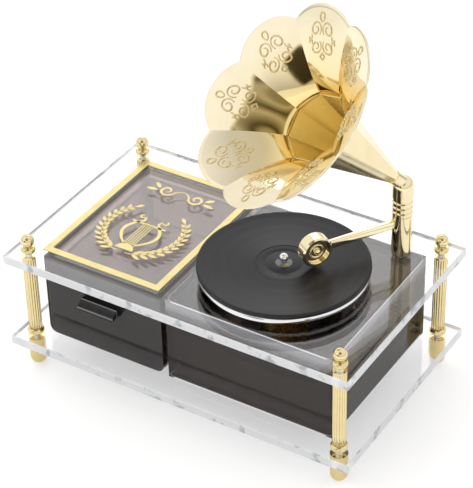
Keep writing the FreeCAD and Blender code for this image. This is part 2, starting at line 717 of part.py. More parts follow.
def post_collar():
    """The collar above the arm sleeve, turned with a row of ring grooves."""
    bottom = UPPER_TOP + POST_SLEEVE_HEIGHT
    top = bottom + COLLAR_HEIGHT
    outer = POST_DIAMETER / 2
    bore = POST_CORE_DIAMETER / 2 + FIT_CLEARANCE
    first = (bottom + top - COLLAR_GROOVE_PITCH * (COLLAR_GROOVE_COUNT - 1)) / 2
    outline = [(bore, bottom), (outer, bottom)]
    for groove in range(COLLAR_GROOVE_COUNT):
        level = first + groove * COLLAR_GROOVE_PITCH
        outline.append((outer, level - COLLAR_GROOVE_WIDTH / 2))
        outline.append((outer - COLLAR_GROOVE_DEPTH, level))
        outline.append((outer, level + COLLAR_GROOVE_WIDTH / 2))
    outline.append((outer, top))
    outline.append((bore, top))
    return revolve(outline, POST_X, POST_Y)


def horn_elbow():
    """The domed head of the post, with the slanting stub that the horn slips on."""
    bottom = UPPER_TOP + POST_SLEEVE_HEIGHT + COLLAR_HEIGHT
    skirt_top = bottom + ELBOW_SKIRT_HEIGHT
    radius = ELBOW_DIAMETER / 2
    slope = radius / math.sqrt(2)
    solid = revolve([
        (0, bottom),
        (radius, bottom),
        (radius, skirt_top),
        (0, skirt_top + radius, slope, skirt_top + slope),
    ], POST_X, POST_Y)
    stub = Part.makeCylinder(NECK_SMALL_RADIUS, NECK_START, HORN_ORIGIN, HORN_AXIS)
    spigot_radius = NECK_SMALL_RADIUS * math.cos(math.pi / HORN_SIDES) - HORN_SHEET - MOVING_GAP
    spigot = Part.makeCylinder(spigot_radius, NECK_START + NECK_SPIGOT_LENGTH, HORN_ORIGIN, HORN_AXIS)
    solid = solid.fuse(stub).fuse(spigot)
    bore = POST_CORE_DIAMETER + 2 * FIT_CLEARANCE
    return solid.cut(cylinder(bore, bottom, skirt_top + HOLE_CLEARANCE, POST_X, POST_Y))


def horn_point(along, radius, angle):
    """A point of the horn from its distance along the axis, its radius and its angle."""
    across = HORN_SIDE * (radius * math.cos(angle)) + HORN_UP * (radius * math.sin(angle))
    return HORN_ORIGIN + HORN_AXIS * along + across


def horn_polygon(along, radius):
    """A closed eight-sided outline across the horn."""
    step = 2 * math.pi / HORN_SIDES
    return Part.makePolygon([horn_point(along, radius, step * corner) for corner in range(HORN_SIDES + 1)])


def horn_neck():
    """The eight-sided tapered tube between the elbow and the bell."""
    end = NECK_START + NECK_LENGTH
    outer = Part.makeLoft([
        horn_polygon(NECK_START, NECK_SMALL_RADIUS),
        horn_polygon(end, NECK_LARGE_RADIUS),
    ], True, True)
    inner = Part.makeLoft([
        horn_polygon(NECK_START, NECK_SMALL_RADIUS - HORN_SHEET),
        horn_polygon(end, NECK_LARGE_RADIUS - HORN_SHEET),
    ], True, True)
    return outer.cut(inner)


def petal_outline(along, joint_radius, tip_radius, advance):
    """A closed outline of eight bulging petals, whose middles stand further forward than their joints."""
    step = 2 * math.pi / HORN_SIDES
    edges = []
    for petal in range(HORN_SIDES):
        first = horn_point(along, joint_radius, step * petal)
        middle = horn_point(along + advance, tip_radius, step * (petal + 0.5))
        last = horn_point(along, joint_radius, step * (petal + 1))
        edges.append(Part.Arc(first, middle, last).toShape())
    return Part.Wire(edges)


def bell_outlines(sheet):
    """Outlines of one side of the bell from throat to rim, set in by the given thickness."""
    start = NECK_START + NECK_LENGTH
    spread = BELL_JOINT_RADIUS - NECK_LARGE_RADIUS
    curved_share = 1 - BELL_STRAIGHT_SHARE
    outlines = []
    for section in range(BELL_SECTIONS):
        share = section / (BELL_SECTIONS - 1)
        rise = BELL_STRAIGHT_SHARE * share + curved_share * share ** 2
        slope = math.atan(spread / BELL_LENGTH * (BELL_STRAIGHT_SHARE + 2 * curved_share * share))
        joint = NECK_LARGE_RADIUS + spread * rise
        reach = PETAL_REACH * rise
        hollow = PETAL_HOLLOW * joint / BELL_JOINT_RADIUS
        tip = joint * math.cos(math.pi / HORN_SIDES) + reach * math.sin(slope) + hollow * math.cos(slope)
        advance = reach * math.cos(slope) - hollow * math.sin(slope) * rise
        forward = sheet * math.sin(slope) if section else 0
        inward = sheet * math.cos(slope) if section else sheet
        along = start + BELL_LENGTH * share + forward
        outlines.append(petal_outline(along, joint - inward, tip - inward, advance))
    return outlines


def horn_bell():
    """The eight-petalled bell: outer and inner skins closed at the throat and along the rim."""
    outer = bell_outlines(0)
    inner = bell_outlines(HORN_SHEET)
    faces = Part.makeLoft(outer, False, False).Faces + Part.makeLoft(inner, False, False).Faces
    for end in (0, -1):
        for outer_edge, inner_edge in zip(outer[end].OrderedEdges, inner[end].OrderedEdges):
            faces.append(Part.makeRuledSurface(outer_edge, inner_edge))
    shell = Part.makeShell(faces)
    shell.sewShape()
    solid = Part.makeSolid(shell)
    if solid.Volume < 0:
        solid.reverse()
    return solid


def arm_sleeve():
    """The sleeve that turns on the post, with a slot for the arm."""
    bore = POST_CORE_DIAMETER + 2 * RUNNING_CLEARANCE
    top = UPPER_TOP + POST_SLEEVE_HEIGHT - MOVING_GAP / 2
    solid = ring(POST_DIAMETER, bore, UPPER_TOP + MOVING_GAP / 2, top, POST_X, POST_Y)
    return solid.cut(arm_bar(FIT_CLEARANCE))


def arm_bar(growth):
    """The flat bar of the arm, grown all round by a clearance."""
    start = POST_DIAMETER / 2 - ARM_SOCKET_DEPTH - growth
    end = ARM_REACH - SOUND_BOX_DIAMETER / 2 + ARM_SOCKET_DEPTH + growth
    half_width = ARM_BAR_WIDTH / 2 + growth
    half_height = ARM_BAR_HEIGHT / 2 + growth
    solid = box(start, end, -half_width, half_width, -half_height, half_height)
    place = Vector(POST_X, POST_Y, UPPER_TOP + ARM_HEIGHT)
    solid.Placement = Placement(place, Rotation(Vector(0, 0, 1), HORN_AZIMUTH))
    return solid


def tone_arm():
    """The flat bar from the sleeve to the sound box."""
    return arm_bar(0)


def at_sound_box(shape):
    """Move a solid built about Z so that its axis crosses the arm and its top faces outward."""
    centre = Vector(POST_X, POST_Y, UPPER_TOP + ARM_HEIGHT) + ARM_DIRECTION * ARM_REACH
    face = ARM_DIRECTION.cross(Vector(0, 0, -1))
    moved = shape.copy()
    moved.Placement = Placement(centre, Rotation(Vector(0, 0, 1), face))
    return moved


def sound_box_body():
    """The round cup of the sound box, with a rounded back and a recessed face."""
    radius = SOUND_BOX_DIAMETER / 2
    half = SOUND_BOX_THICKNESS / 2
    inner = radius - SOUND_BOX_BEZEL
    rounding = SOUND_BOX_BEZEL
    bend = rounding * (1 - 1 / math.sqrt(2))
    solid = revolve([
        (0, -half),
        (radius - rounding, -half),
        (radius, -half + rounding, radius - bend, -half + bend),
        (radius, half - rounding / 2),
        (radius - rounding / 2, half),
        (inner, half),
        (inner, half - SOUND_BOX_RECESS),
        (0, half - SOUND_BOX_RECESS),
    ])
    solid = at_sound_box(solid).cut(arm_bar(FIT_CLEARANCE))
    return solid.cut(chuck(FIT_CLEARANCE))


def sound_box_diaphragm():
    """The disc in the recess, with a raised ring and a centre knob."""
    seat = SOUND_BOX_THICKNESS / 2 - SOUND_BOX_RECESS
    face = seat + DIAPHRAGM_THICKNESS
    outer = SOUND_BOX_DIAMETER / 2 - SOUND_BOX_BEZEL - FIT_CLEARANCE
    ring_outer = DIAPHRAGM_RING_DIAMETER / 2
    ring_inner = ring_outer - DIAPHRAGM_RING_WIDTH
    ring_top = face + DIAPHRAGM_RING_WIDTH / 2
    knob = DIAPHRAGM_KNOB_DIAMETER / 2
    slope = knob / math.sqrt(2)
    return at_sound_box(revolve([
        (0, seat),
        (outer, seat),
        (outer, face),
        (ring_outer, face),
        (ring_inner, face, (ring_outer + ring_inner) / 2, ring_top),
        (knob, face),
        (0, face + knob, slope, face + slope),
    ]))


def chuck(growth):
    """The round needle chuck under the sound box, grown by a clearance."""
    centre = Vector(POST_X, POST_Y, 0) + ARM_DIRECTION * ARM_REACH
    top = UPPER_TOP + ARM_HEIGHT - SOUND_BOX_DIAMETER / 2 + CHUCK_SOCKET_DEPTH
    bottom = (RECORD_TOP + top - CHUCK_SOCKET_DEPTH) / 2
    return cylinder(CHUCK_DIAMETER + 2 * growth, bottom, top + growth, centre.x, centre.y)


def needle():
    """The chuck and the needle, which stops just above the record."""
    body = chuck(0)
    low = RECORD_TOP + NEEDLE_GAP
    middle = body.BoundBox.Center
    point = cylinder(NEEDLE_DIAMETER, low, body.BoundBox.ZMin, middle.x, middle.y)
    return body.fuse(point)


def winding_key():
    """A two-winged key with an eye in each wing and a bored hub."""
    low = KEY_FLOOR_GAP
    hub_top = BASE_BOTTOM - KEY_PLATE_GAP
    wing_radius = KEY_WING_HEIGHT / 2
    reach = KEY_SPAN / 2 - wing_radius
    half = KEY_WING_THICKNESS / 2
    middle = low + wing_radius
    wings = box(-reach, reach, -half, half, low, low + KEY_WING_HEIGHT)
    for side in (-1, 1):
        start = Vector(side * reach, -half, middle)
        wings = wings.fuse(Part.makeCylinder(wing_radius, KEY_WING_THICKNESS, start, Vector(0, 1, 0)))
    for side in (-1, 1):
        start = Vector(side * reach, -half, middle)
        eye = Part.makeCylinder(KEY_EYE_DIAMETER / 2, KEY_WING_THICKNESS, start, Vector(0, 1, 0))
        wings = wings.cut(eye)
    solid = wings.fuse(cylinder(KEY_HUB_DIAMETER, middle, hub_top))
    bore = ARBOR_DIAMETER + 2 * FIT_CLEARANCE
    solid = solid.cut(cylinder(bore, hub_top - ARBOR_KEY_DEPTH - HOLE_CLEARANCE, hub_top))
    solid.translate(Vector(SPINDLE_X, SPINDLE_Y, 0))
    return solid


def winding_arbor():
    """The arbor from the key up into the spring barrel, with a hub for the mainspring."""
    low = BASE_BOTTOM - KEY_PLATE_GAP - ARBOR_KEY_DEPTH
    hub_low = BARREL_BOTTOM + BARREL_LID + MOVING_GAP
    hub_high = BARREL_TOP - BARREL_WALL - MOVING_GAP
    solid = cylinder(ARBOR_DIAMETER, low, hub_high, SPINDLE_X, SPINDLE_Y)
    return solid.fuse(cylinder(ARBOR_HUB_DIAMETER, hub_low, hub_high, SPINDLE_X, SPINDLE_Y))


def bed_screw_places():
    """Corners of the bedplate where screws hold it to the floor."""
    for x in (SPINDLE_X - BEDPLATE_LEFT + BED_SCREW_INSET, SPINDLE_X + BEDPLATE_RIGHT - BED_SCREW_INSET):
        for y in (SPINDLE_Y - BEDPLATE_FRONT + BED_SCREW_INSET, SPINDLE_Y + BEDPLATE_REAR - BED_SCREW_INSET):
            yield x, y


def movement_bedplate():
    """The cast plate that carries the movement, with the bearing of the winding arbor."""
    solid = box(
        SPINDLE_X - BEDPLATE_LEFT, SPINDLE_X + BEDPLATE_RIGHT,
        SPINDLE_Y - BEDPLATE_FRONT, SPINDLE_Y + BEDPLATE_REAR,
        FLOOR_TOP, BEDPLATE_TOP,
    )
    upright = [edge for edge in solid.Edges if edge.BoundBox.ZLength > BEDPLATE_THICKNESS / 2]
    solid = solid.makeFillet(BED_SCREW_INSET, upright)
    bearing = ARBOR_DIAMETER + 2 * RUNNING_CLEARANCE
    solid = solid.cut(cylinder(bearing, FLOOR_TOP, BEDPLATE_TOP, SPINDLE_X, SPINDLE_Y))
    for x, y in bed_screw_places():
        solid = solid.cut(cylinder(BED_SCREW_DIAMETER + 2 * HOLE_CLEARANCE, FLOOR_TOP, BEDPLATE_TOP, x, y))
    return solid


def bedplate_screws():
    """Four screws from the bedplate into the floor panel."""
    screws = []
    for x, y in bed_screw_places():
        shank = cylinder(BED_SCREW_DIAMETER, BASE_TOP, BEDPLATE_TOP, x, y)
        head = cylinder(BED_SCREW_HEAD, BEDPLATE_TOP, BEDPLATE_TOP + BED_SCREW_HEAD_HEIGHT, x, y)
        screws.append(shank.fuse(head))
    return Part.makeCompound(screws)


def gear_outline(module, teeth, phase):
    """A closed outline of straight-flanked teeth; one tooth is centred on the phase angle."""
    pitch_radius = module * teeth / 2
    root = pitch_radius - DEDENDUM * module
    tip = pitch_radius + ADDENDUM * module
    step = 2 * math.pi / teeth
    points = []
    for tooth in range(teeth):
        centre = math.radians(phase) + tooth * step
        for radius, share in ((root, -TOOTH_SHARE_ROOT), (tip, -TOOTH_SHARE_TIP),
                              (tip, TOOTH_SHARE_TIP), (root, TOOTH_SHARE_ROOT)):
            angle = centre + share * step / 2
            points.append(Vector(radius * math.cos(angle), radius * math.sin(angle), 0))
    return Part.makePolygon(points + points[:1])


def spur_gear(module, teeth, phase, face):
    """A spur gear about Z, standing on the XY plane."""
    return Part.Face(gear_outline(module, teeth, phase)).extrude(Vector(0, 0, face))


def crown_tooth():
    """One upright radial tooth of the crown wheel, on the +X side of the barrel rim."""
    step = 2 * math.pi / CROWN_TEETH
    root = BARREL_TOP
    tip = CROWN_PITCH_LEVEL + ADDENDUM * CROWN_MODULE
    ends = []
    for radius in (CROWN_INNER_RADIUS, CROWN_OUTER_RADIUS):
        points = []
        for level, share in ((root, -TOOTH_SHARE_ROOT), (tip, -TOOTH_SHARE_TIP),
                             (tip, TOOTH_SHARE_TIP), (root, TOOTH_SHARE_ROOT)):
            points.append(Vector(radius, radius * math.tan(share * step / 2), level))
        ends.append(Part.makePolygon(points + points[:1]))
    return Part.makeLoft(ends, True, True)


def spring_barrel():
    """The spring cup, closed above, with crown teeth round its top rim and a boss for the spindle."""
    inner = BARREL_RADIUS - BARREL_WALL
    boss = BARREL_BOSS_DIAMETER / 2
    bore = SPINDLE_DIAMETER / 2 + FIT_CLEARANCE
    boss_top = BARREL_TOP + BARREL_BOSS_HEIGHT
    solid = revolve([
        (0, BARREL_TOP - BARREL_WALL),
        (inner, BARREL_TOP - BARREL_WALL),
        (inner, BARREL_BOTTOM),
        (BARREL_RADIUS, BARREL_BOTTOM),
        (BARREL_RADIUS, BARREL_TOP),
        (boss, BARREL_TOP),
        (boss, boss_top),
        (bore, boss_top),
        (bore, BARREL_TOP),
        (0, BARREL_TOP),
    ])
    teeth = []
    for tooth in range(CROWN_TEETH):
        one = crown_tooth()
        one.rotate(Vector(0, 0, 0), Vector(0, 0, 1), tooth * 360 / CROWN_TEETH)
        teeth.append(one)
    solid = solid.fuse(teeth)
    solid.translate(Vector(SPINDLE_X, SPINDLE_Y, 0))
    return solid


def barrel_lid():
    """The disc that closes the barrel below, running on the arbor."""
    outer = 2 * (BARREL_RADIUS - BARREL_WALL - FIT_CLEARANCE)
    inner = ARBOR_DIAMETER + 2 * RUNNING_CLEARANCE
    return ring(outer, inner, BARREL_BOTTOM, BARREL_BOTTOM + BARREL_LID, SPINDLE_X, SPINDLE_Y)


def mainspring():
    """The flat spiral spring, a band of half circles about two centres in turn."""
    inner = ARBOR_HUB_DIAMETER / 2 + MOVING_GAP + MAINSPRING_STRIP / 2
    outer = BARREL_RADIUS - BARREL_WALL - MOVING_GAP - MAINSPRING_STRIP / 2
    halves = 2 * MAINSPRING_TURNS
    growth = (outer - inner) / halves
    low = BARREL_BOTTOM + BARREL_LID + MAINSPRING_EDGE_GAP
    high = BARREL_TOP - BARREL_WALL - MAINSPRING_EDGE_GAP
    chains = {}
    for side in (-1, 1):
        arcs = []
        for half in range(halves):
            radius = inner + growth * half + side * MAINSPRING_STRIP / 2
            turn = 1 if half % 2 == 0 else -1
            centre = Vector(0 if turn > 0 else growth, 0, low)
            start = centre + Vector(turn * radius, 0, 0)
            middle = centre + Vector(0, turn * radius, 0)
            end = centre + Vector(-turn * radius, 0, 0)
            arcs.append((start, middle, end))
        chains[side] = arcs
    edges = [Part.Arc(*arc).toShape() for side in (-1, 1) for arc in chains[side]]
    edges.append(Part.LineSegment(chains[-1][0][0], chains[1][0][0]).toShape())
    edges.append(Part.LineSegment(chains[-1][-1][2], chains[1][-1][2]).toShape())
    outline = Part.Wire(Part.__sortEdges__(edges))
    solid = Part.Face(outline).extrude(Vector(0, 0, high - low))
    solid.translate(Vector(SPINDLE_X, SPINDLE_Y, 0))
    return solid


def cylinder_pins():
    """Pins on the cylinder, one row for each comb tooth, spread round by a fixed step."""
    pitch = CYLINDER_LENGTH / COMB_TEETH
    golden = 137.508
    half = PIN_WIDTH / 2
    radius = CYLINDER_DIAMETER / 2
    pins = []
    for index in range(COMB_TEETH * PINS_PER_TRACK):
        track = index % COMB_TEETH
        level = pitch * (track + 0.5)
        pin = box(radius - half, radius + PIN_HEIGHT, -half, half, level - half, level + half)
        pin.rotate(Vector(0, 0, 0), Vector(0, 0, 1), golden * index)
        pins.append(pin)
    return pins


def pinned_cylinder():
    """The hollow cylinder with its pins and end discs."""
    inner = CYLINDER_DIAMETER - 2 * CYLINDER_WALL
    solid = cylinder(CYLINDER_DIAMETER, 0, CYLINDER_LENGTH)
    solid = solid.cut(cylinder(inner, CYLINDER_WALL, CYLINDER_LENGTH - CYLINDER_WALL))
    solid = solid.cut(cylinder(CYLINDER_ARBOR_DIAMETER + 2 * FIT_CLEARANCE, 0, CYLINDER_LENGTH))
    solid = solid.fuse(cylinder_pins())
    return along_y(solid, SPINDLE_X, SPINDLE_Y + CYLINDER_START, CYLINDER_Z)


def cylinder_arbor():
    """The arbor through the cylinder, from the crown wheel to the rear bracket."""
    start = CROWN_INNER_RADIUS
    end = rear_bracket_place() + BRACKET_THICKNESS
    solid = cylinder(CYLINDER_ARBOR_DIAMETER, start, end)
    return along_y(solid, SPINDLE_X, SPINDLE_Y, CYLINDER_Z)


def cylinder_pinion():
    """The small wheel that the crown teeth drive; a gap between its teeth faces down at rest."""
    gap_down = 90 + 180 / PINION_TEETH
    solid = spur_gear(CROWN_MODULE, PINION_TEETH, gap_down, CROWN_FACE)
    solid = solid.cut(cylinder(CYLINDER_ARBOR_DIAMETER + 2 * FIT_CLEARANCE, 0, CROWN_FACE))
    return along_y(solid, SPINDLE_X, SPINDLE_Y + CROWN_INNER_RADIUS, CYLINDER_Z)


def cylinder_gear():
    """The large wheel at the far end of the cylinder, with a tooth towards the governor."""
    solid = spur_gear(GEAR_MODULE, GEAR_TEETH, -GOVERNOR_ANGLE, GEAR_FACE)
    solid = solid.cut(cylinder(CYLINDER_ARBOR_DIAMETER + 2 * FIT_CLEARANCE, 0, GEAR_FACE))
    return along_y(solid, SPINDLE_X, SPINDLE_Y + GEAR_PLACE, CYLINDER_Z)


def rear_bracket_place():
    """Distance of the rear bracket from the spindle."""
    return GEAR_PLACE + GEAR_FACE + BRACKET_GAP


def cylinder_bracket(place):
    """An upright with a bearing for the cylinder arbor, standing on the bedplate."""
    near = SPINDLE_Y + place
    solid = box(
        SPINDLE_X - BRACKET_WIDTH / 2, SPINDLE_X + BRACKET_WIDTH / 2,
        near, near + BRACKET_THICKNESS,
        BEDPLATE_TOP, CYLINDER_Z,
    )
    top = along_y(cylinder(BRACKET_WIDTH, 0, BRACKET_THICKNESS), SPINDLE_X, near, CYLINDER_Z)
    bearing_size = CYLINDER_ARBOR_DIAMETER + 2 * RUNNING_CLEARANCE
    bearing = along_y(cylinder(bearing_size, 0, BRACKET_THICKNESS), SPINDLE_X, near, CYLINDER_Z)
    return solid.fuse(top).cut(bearing)


def comb_tip_x():
    """Where the comb's tips stop, just short of the pins."""
    return SPINDLE_X - CYLINDER_DIAMETER / 2 - PIN_HEIGHT - COMB_TIP_GAP


def comb_screw_places():
    """Places of the comb screws on the comb's heel."""
    x = comb_tip_x() - COMB_TOOTH_LENGTH - COMB_HEEL_LENGTH / 2
    middle = SPINDLE_Y + CYLINDER_START + CYLINDER_LENGTH / 2
    for side in (-1, 1):
        yield x, middle + side * COMB_SCREW_SPACING / 2


def comb():
    """The steel comb: a heel and a row of free teeth that reach the cylinder."""
    tip = comb_tip_x()
    heel_front = tip - COMB_TOOTH_LENGTH
    near = SPINDLE_Y + CYLINDER_START
    low = CYLINDER_Z - COMB_THICKNESS / 2
    high = low + COMB_THICKNESS
    pitch = CYLINDER_LENGTH / COMB_TEETH
    solid = box(heel_front - COMB_HEEL_LENGTH, tip, near, near + CYLINDER_LENGTH, low, high)
    slots = []
    for slot in range(1, COMB_TEETH):
        middle = near + pitch * slot
        slots.append(box(heel_front, tip, middle - COMB_SLOT / 2, middle + COMB_SLOT / 2, low, high))
    solid = solid.cut(slots)
    for x, y in comb_screw_places():
        solid = solid.cut(cylinder(COMB_SCREW_DIAMETER + 2 * HOLE_CLEARANCE, low, high, x, y))
    return solid


def comb_base():
    """The block that lifts the comb to the cylinder's axis."""
    heel_front = comb_tip_x() - COMB_TOOTH_LENGTH
    near = SPINDLE_Y + CYLINDER_START
    top = CYLINDER_Z - COMB_THICKNESS / 2
    solid = box(heel_front - COMB_HEEL_LENGTH, heel_front, near, near + CYLINDER_LENGTH, BEDPLATE_TOP, top)
    bore = COMB_SCREW_DIAMETER + 2 * FIT_CLEARANCE
    for x, y in comb_screw_places():
        solid = solid.cut(cylinder(bore, top - COMB_SCREW_DEPTH - HOLE_CLEARANCE, top, x, y))
    return solid


def comb_screws():
    """Two screws that clamp the comb."""
    top = CYLINDER_Z + COMB_THICKNESS / 2
    low = CYLINDER_Z - COMB_THICKNESS / 2 - COMB_SCREW_DEPTH
    screws = []
    for x, y in comb_screw_places():
        shank = cylinder(COMB_SCREW_DIAMETER, low, top, x, y)
        screws.append(shank.fuse(cylinder(COMB_SCREW_HEAD, top, top + COMB_SCREW_HEAD_HEIGHT, x, y)))
    return Part.makeCompound(screws)


def governor_wheel():
    """The governor's shaft with its driven pinion and its worm wheel, made as one turned piece."""
    pinion_phase = -GOVERNOR_ANGLE + 180 + 180 / GOVERNOR_PINION_TEETH
    pinion = spur_gear(GEAR_MODULE, GOVERNOR_PINION_TEETH, pinion_phase, GEAR_FACE)
    pinion.translate(Vector(0, 0, GEAR_PLACE))
    wheel = spur_gear(WORM_MODULE, WORM_WHEEL_TEETH, 0, WORM_WHEEL_FACE)
    wheel.translate(Vector(0, 0, WORM_WHEEL_PLACE))
    shaft = cylinder(GOVERNOR_SHAFT_DIAMETER, governor_front(), governor_rear() + GOVERNOR_CHEEK)
    return along_y(shaft.fuse(pinion).fuse(wheel), GOVERNOR_X, SPINDLE_Y, GOVERNOR_Z)


def governor_front():
    """Distance from the spindle to the front of the governor's front cheek."""
    return WORM_WHEEL_PLACE - FAN_HUB_DIAMETER / 2 - GOVERNOR_CHEEK - BRACKET_GAP


def governor_rear():
    """Distance from the spindle to the front of the governor's rear cheek."""
    return GEAR_PLACE + GEAR_FACE + BRACKET_GAP


def governor_frame():
    """The governor's bracket: two cheeks for the wheel shaft and two ledges for the fan shaft."""
    wheel_tip = WORM_WHEEL_RADIUS + ADDENDUM * WORM_MODULE
    half = GOVERNOR_SHAFT_DIAMETER + GOVERNOR_CHEEK
    near = SPINDLE_Y + governor_front()
    far = SPINDLE_Y + governor_rear()
    foot_top = min(GOVERNOR_Z - wheel_tip, GOVERNOR_Z - WORM_HALF) - BRACKET_GAP - GOVERNOR_CHEEK
    ledge_end = WORM_X + half
    solid = box(GOVERNOR_X - half, ledge_end, near, far + GOVERNOR_CHEEK, BEDPLATE_TOP, foot_top)
    for cheek in (near, far):
        solid = solid.fuse(box(
            GOVERNOR_X - half, GOVERNOR_X + half,
            cheek, cheek + GOVERNOR_CHEEK,
            foot_top, GOVERNOR_Z + half,
        ))
    post_far = near + GOVERNOR_CHEEK
    ledge_low = GOVERNOR_Z + WORM_HALF + BRACKET_GAP
    ledge_high = ledge_low + GOVERNOR_CHEEK
    post_start = GOVERNOR_X + half
    solid = solid.fuse(box(post_start, ledge_end, near, post_far, foot_top, ledge_high))
    ledge_start = WORM_X - FAN_SHAFT_DIAMETER
    solid = solid.fuse(box(ledge_start, ledge_end, near, WORM_Y + half, ledge_low, ledge_high))
    shaft_size = GOVERNOR_SHAFT_DIAMETER + 2 * RUNNING_CLEARANCE
    solid = solid.cut(along_y(
        cylinder(shaft_size, governor_front(), governor_rear() + GOVERNOR_CHEEK),
        GOVERNOR_X, SPINDLE_Y, GOVERNOR_Z,
    ))
    fan_bore = FAN_SHAFT_DIAMETER + 2 * RUNNING_CLEARANCE
    return solid.cut(cylinder(fan_bore, foot_top - GOVERNOR_CHEEK, ledge_high, WORM_X, WORM_Y))


def worm():
    """A single-start worm: a round section carried along a helix without turning."""
    low = GOVERNOR_Z - WORM_HALF
    spine = Part.makeHelix(WORM_PITCH, 2 * WORM_HALF, WORM_THROW)
    section = Part.Wire(Part.makeCircle(WORM_RADIUS, Vector(WORM_THROW, 0, 0)))
    sweep = Part.BRepOffsetAPI.MakePipeShell(Part.Wire(spine))
    sweep.setTrihedronMode(Vector(0, 0, 0), Vector(0, 0, 1))
    sweep.add(section)
    sweep.build()
    sweep.makeSolid()
    solid = sweep.shape()
    half_turns = WORM_HALF / WORM_PITCH * 360
    solid.rotate(Vector(0, 0, 0), Vector(0, 0, 1), -half_turns)
    solid.translate(Vector(WORM_X, WORM_Y, low))
    return solid


def governor_fan():
    """The fan shaft with its worm, hub and two air blades."""
    wheel_tip = WORM_WHEEL_RADIUS + ADDENDUM * WORM_MODULE
    foot_top = min(GOVERNOR_Z - wheel_tip, GOVERNOR_Z - WORM_HALF) - BRACKET_GAP - GOVERNOR_CHEEK
    ledge_high = GOVERNOR_Z + WORM_HALF + BRACKET_GAP + GOVERNOR_CHEEK
    fan_low = ledge_high + BRACKET_GAP
    fan_high = fan_low + FAN_BLADE_HEIGHT
    shaft_low = cylinder(FAN_SHAFT_DIAMETER, foot_top - GOVERNOR_CHEEK, GOVERNOR_Z - WORM_HALF, WORM_X, WORM_Y)
    shaft_high = cylinder(FAN_SHAFT_DIAMETER, GOVERNOR_Z + WORM_HALF, fan_high, WORM_X, WORM_Y)
    hub = cylinder(FAN_HUB_DIAMETER, fan_low, fan_high, WORM_X, WORM_Y)
    half = FAN_BLADE_THICKNESS / 2
    blades = box(WORM_X - FAN_RADIUS, WORM_X + FAN_RADIUS, WORM_Y - half, WORM_Y + half, fan_low, fan_high)
    return worm().fuse([shaft_low, shaft_high, hub, blades])


def build():
    """Every sub-part under its own name."""
    parts = {"base_plate": base_plate(), "upper_plate": upper_plate(), "tie_rods": tie_rods()}
    for name, x, y in column_places():
        parts["column_" + name] = column(x, y)
        parts["finial_" + name] = finial(x, y)
        parts["foot_" + name] = foot(x, y)
    makers = (
        drawer_case, drawer_front, drawer_tray, drawer_handle, handle_screws,
        movement_case, movement_floor, gilt_frame,
        spindle_bush, turntable_platter, record_disc, spindle_shaft, spindle_cap,
        post_core, post_nut, post_collar, horn_elbow, horn_neck, horn_bell,
        arm_sleeve, tone_arm, sound_box_body, sound_box_diaphragm, needle,
        winding_key, winding_arbor, movement_bedplate, bedplate_screws,
        spring_barrel, barrel_lid, mainspring,
        pinned_cylinder, cylinder_arbor, cylinder_pinion, cylinder_gear,
        comb, comb_base, comb_screws, governor_wheel, governor_frame, governor_fan,
    )
    for maker in makers:
        parts[maker.__name__] = maker()
    front_bracket = CYLINDER_START - BRACKET_GAP - BRACKET_THICKNESS
    parts["cylinder_bracket_front"] = cylinder_bracket(front_bracket)
    parts["cylinder_bracket_rear"] = cylinder_bracket(rear_bracket_place())
    return parts


def main():
    os.makedirs("parts", exist_ok=True)
    for name, shape in build().items():
        shape.exportStep("parts/" + name + ".step")


if __name__ == "__main__":
    main()
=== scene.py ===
import math

import bmesh
import bpy
from mathutils import Matrix, Vector


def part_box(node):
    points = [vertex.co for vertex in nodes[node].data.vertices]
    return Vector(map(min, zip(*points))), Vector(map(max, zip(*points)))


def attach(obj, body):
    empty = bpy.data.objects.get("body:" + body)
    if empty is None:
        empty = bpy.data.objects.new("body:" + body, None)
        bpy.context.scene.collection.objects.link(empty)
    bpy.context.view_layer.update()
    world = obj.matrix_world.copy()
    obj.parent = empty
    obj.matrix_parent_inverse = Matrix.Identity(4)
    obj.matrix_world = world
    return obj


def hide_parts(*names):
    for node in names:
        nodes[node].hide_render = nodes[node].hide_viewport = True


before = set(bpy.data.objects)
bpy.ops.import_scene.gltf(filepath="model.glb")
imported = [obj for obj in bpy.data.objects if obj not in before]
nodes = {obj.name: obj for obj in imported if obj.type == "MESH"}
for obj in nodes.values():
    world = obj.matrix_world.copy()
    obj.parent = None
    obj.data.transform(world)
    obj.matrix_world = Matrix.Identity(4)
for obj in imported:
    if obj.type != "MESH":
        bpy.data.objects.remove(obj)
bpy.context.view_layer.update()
MM = 0.001
UP = Vector((0, 0, 1))


def heading(azimuth, elevation):
    """The direction at an azimuth and an elevation in degrees."""
    turn, rise = math.radians(azimuth), math.radians(elevation)
    return Vector((math.cos(turn) * math.cos(rise), math.sin(turn) * math.cos(rise), math.sin(rise)))


def ground_middle(low, high):
    """The middle of a box, at the height of the floor."""
    return Vector(((low.x + high.x) / 2, (low.y + high.y) / 2, 0))


# Places that the pieces take from the frame, in metres.
UPPER_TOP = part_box("upper_plate")[1].z
CAP_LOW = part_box("spindle_cap")[0].z
record_low, record_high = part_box("record_disc")
case_low, case_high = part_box("movement_case")
handle_low, handle_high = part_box("drawer_handle")
SPINDLE = ground_middle(record_low, record_high)
POST = ground_middle(*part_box("post_collar"))
HORN_LIFT = 39.6 * MM
HORN_ORIGIN = Vector((POST.x, POST.y, UPPER_TOP + HORN_LIFT))
HORN_AXIS = heading(238.4, 44.2)
HORN_SIDE = HORN_AXIS.cross(UP).normalized()
HORN_UP = HORN_SIDE.cross(HORN_AXIS)


# Node helpers.

CLOUD_LOW, CLOUD_HIGH = 0.3, 0.7    # the range that most of a cloudy noise lies in


def material(name, **values):
    """A new material with one Principled shader, whose plain values sit on its own sockets."""
    made = bpy.data.materials.new(name)
    made.use_nodes = True
    tree = made.node_tree
    shader = tree.nodes["Principled BSDF"]
    for socket, value in values.items():
        shader.inputs[socket.replace("_", " ")].default_value = value
    return made, tree, shader


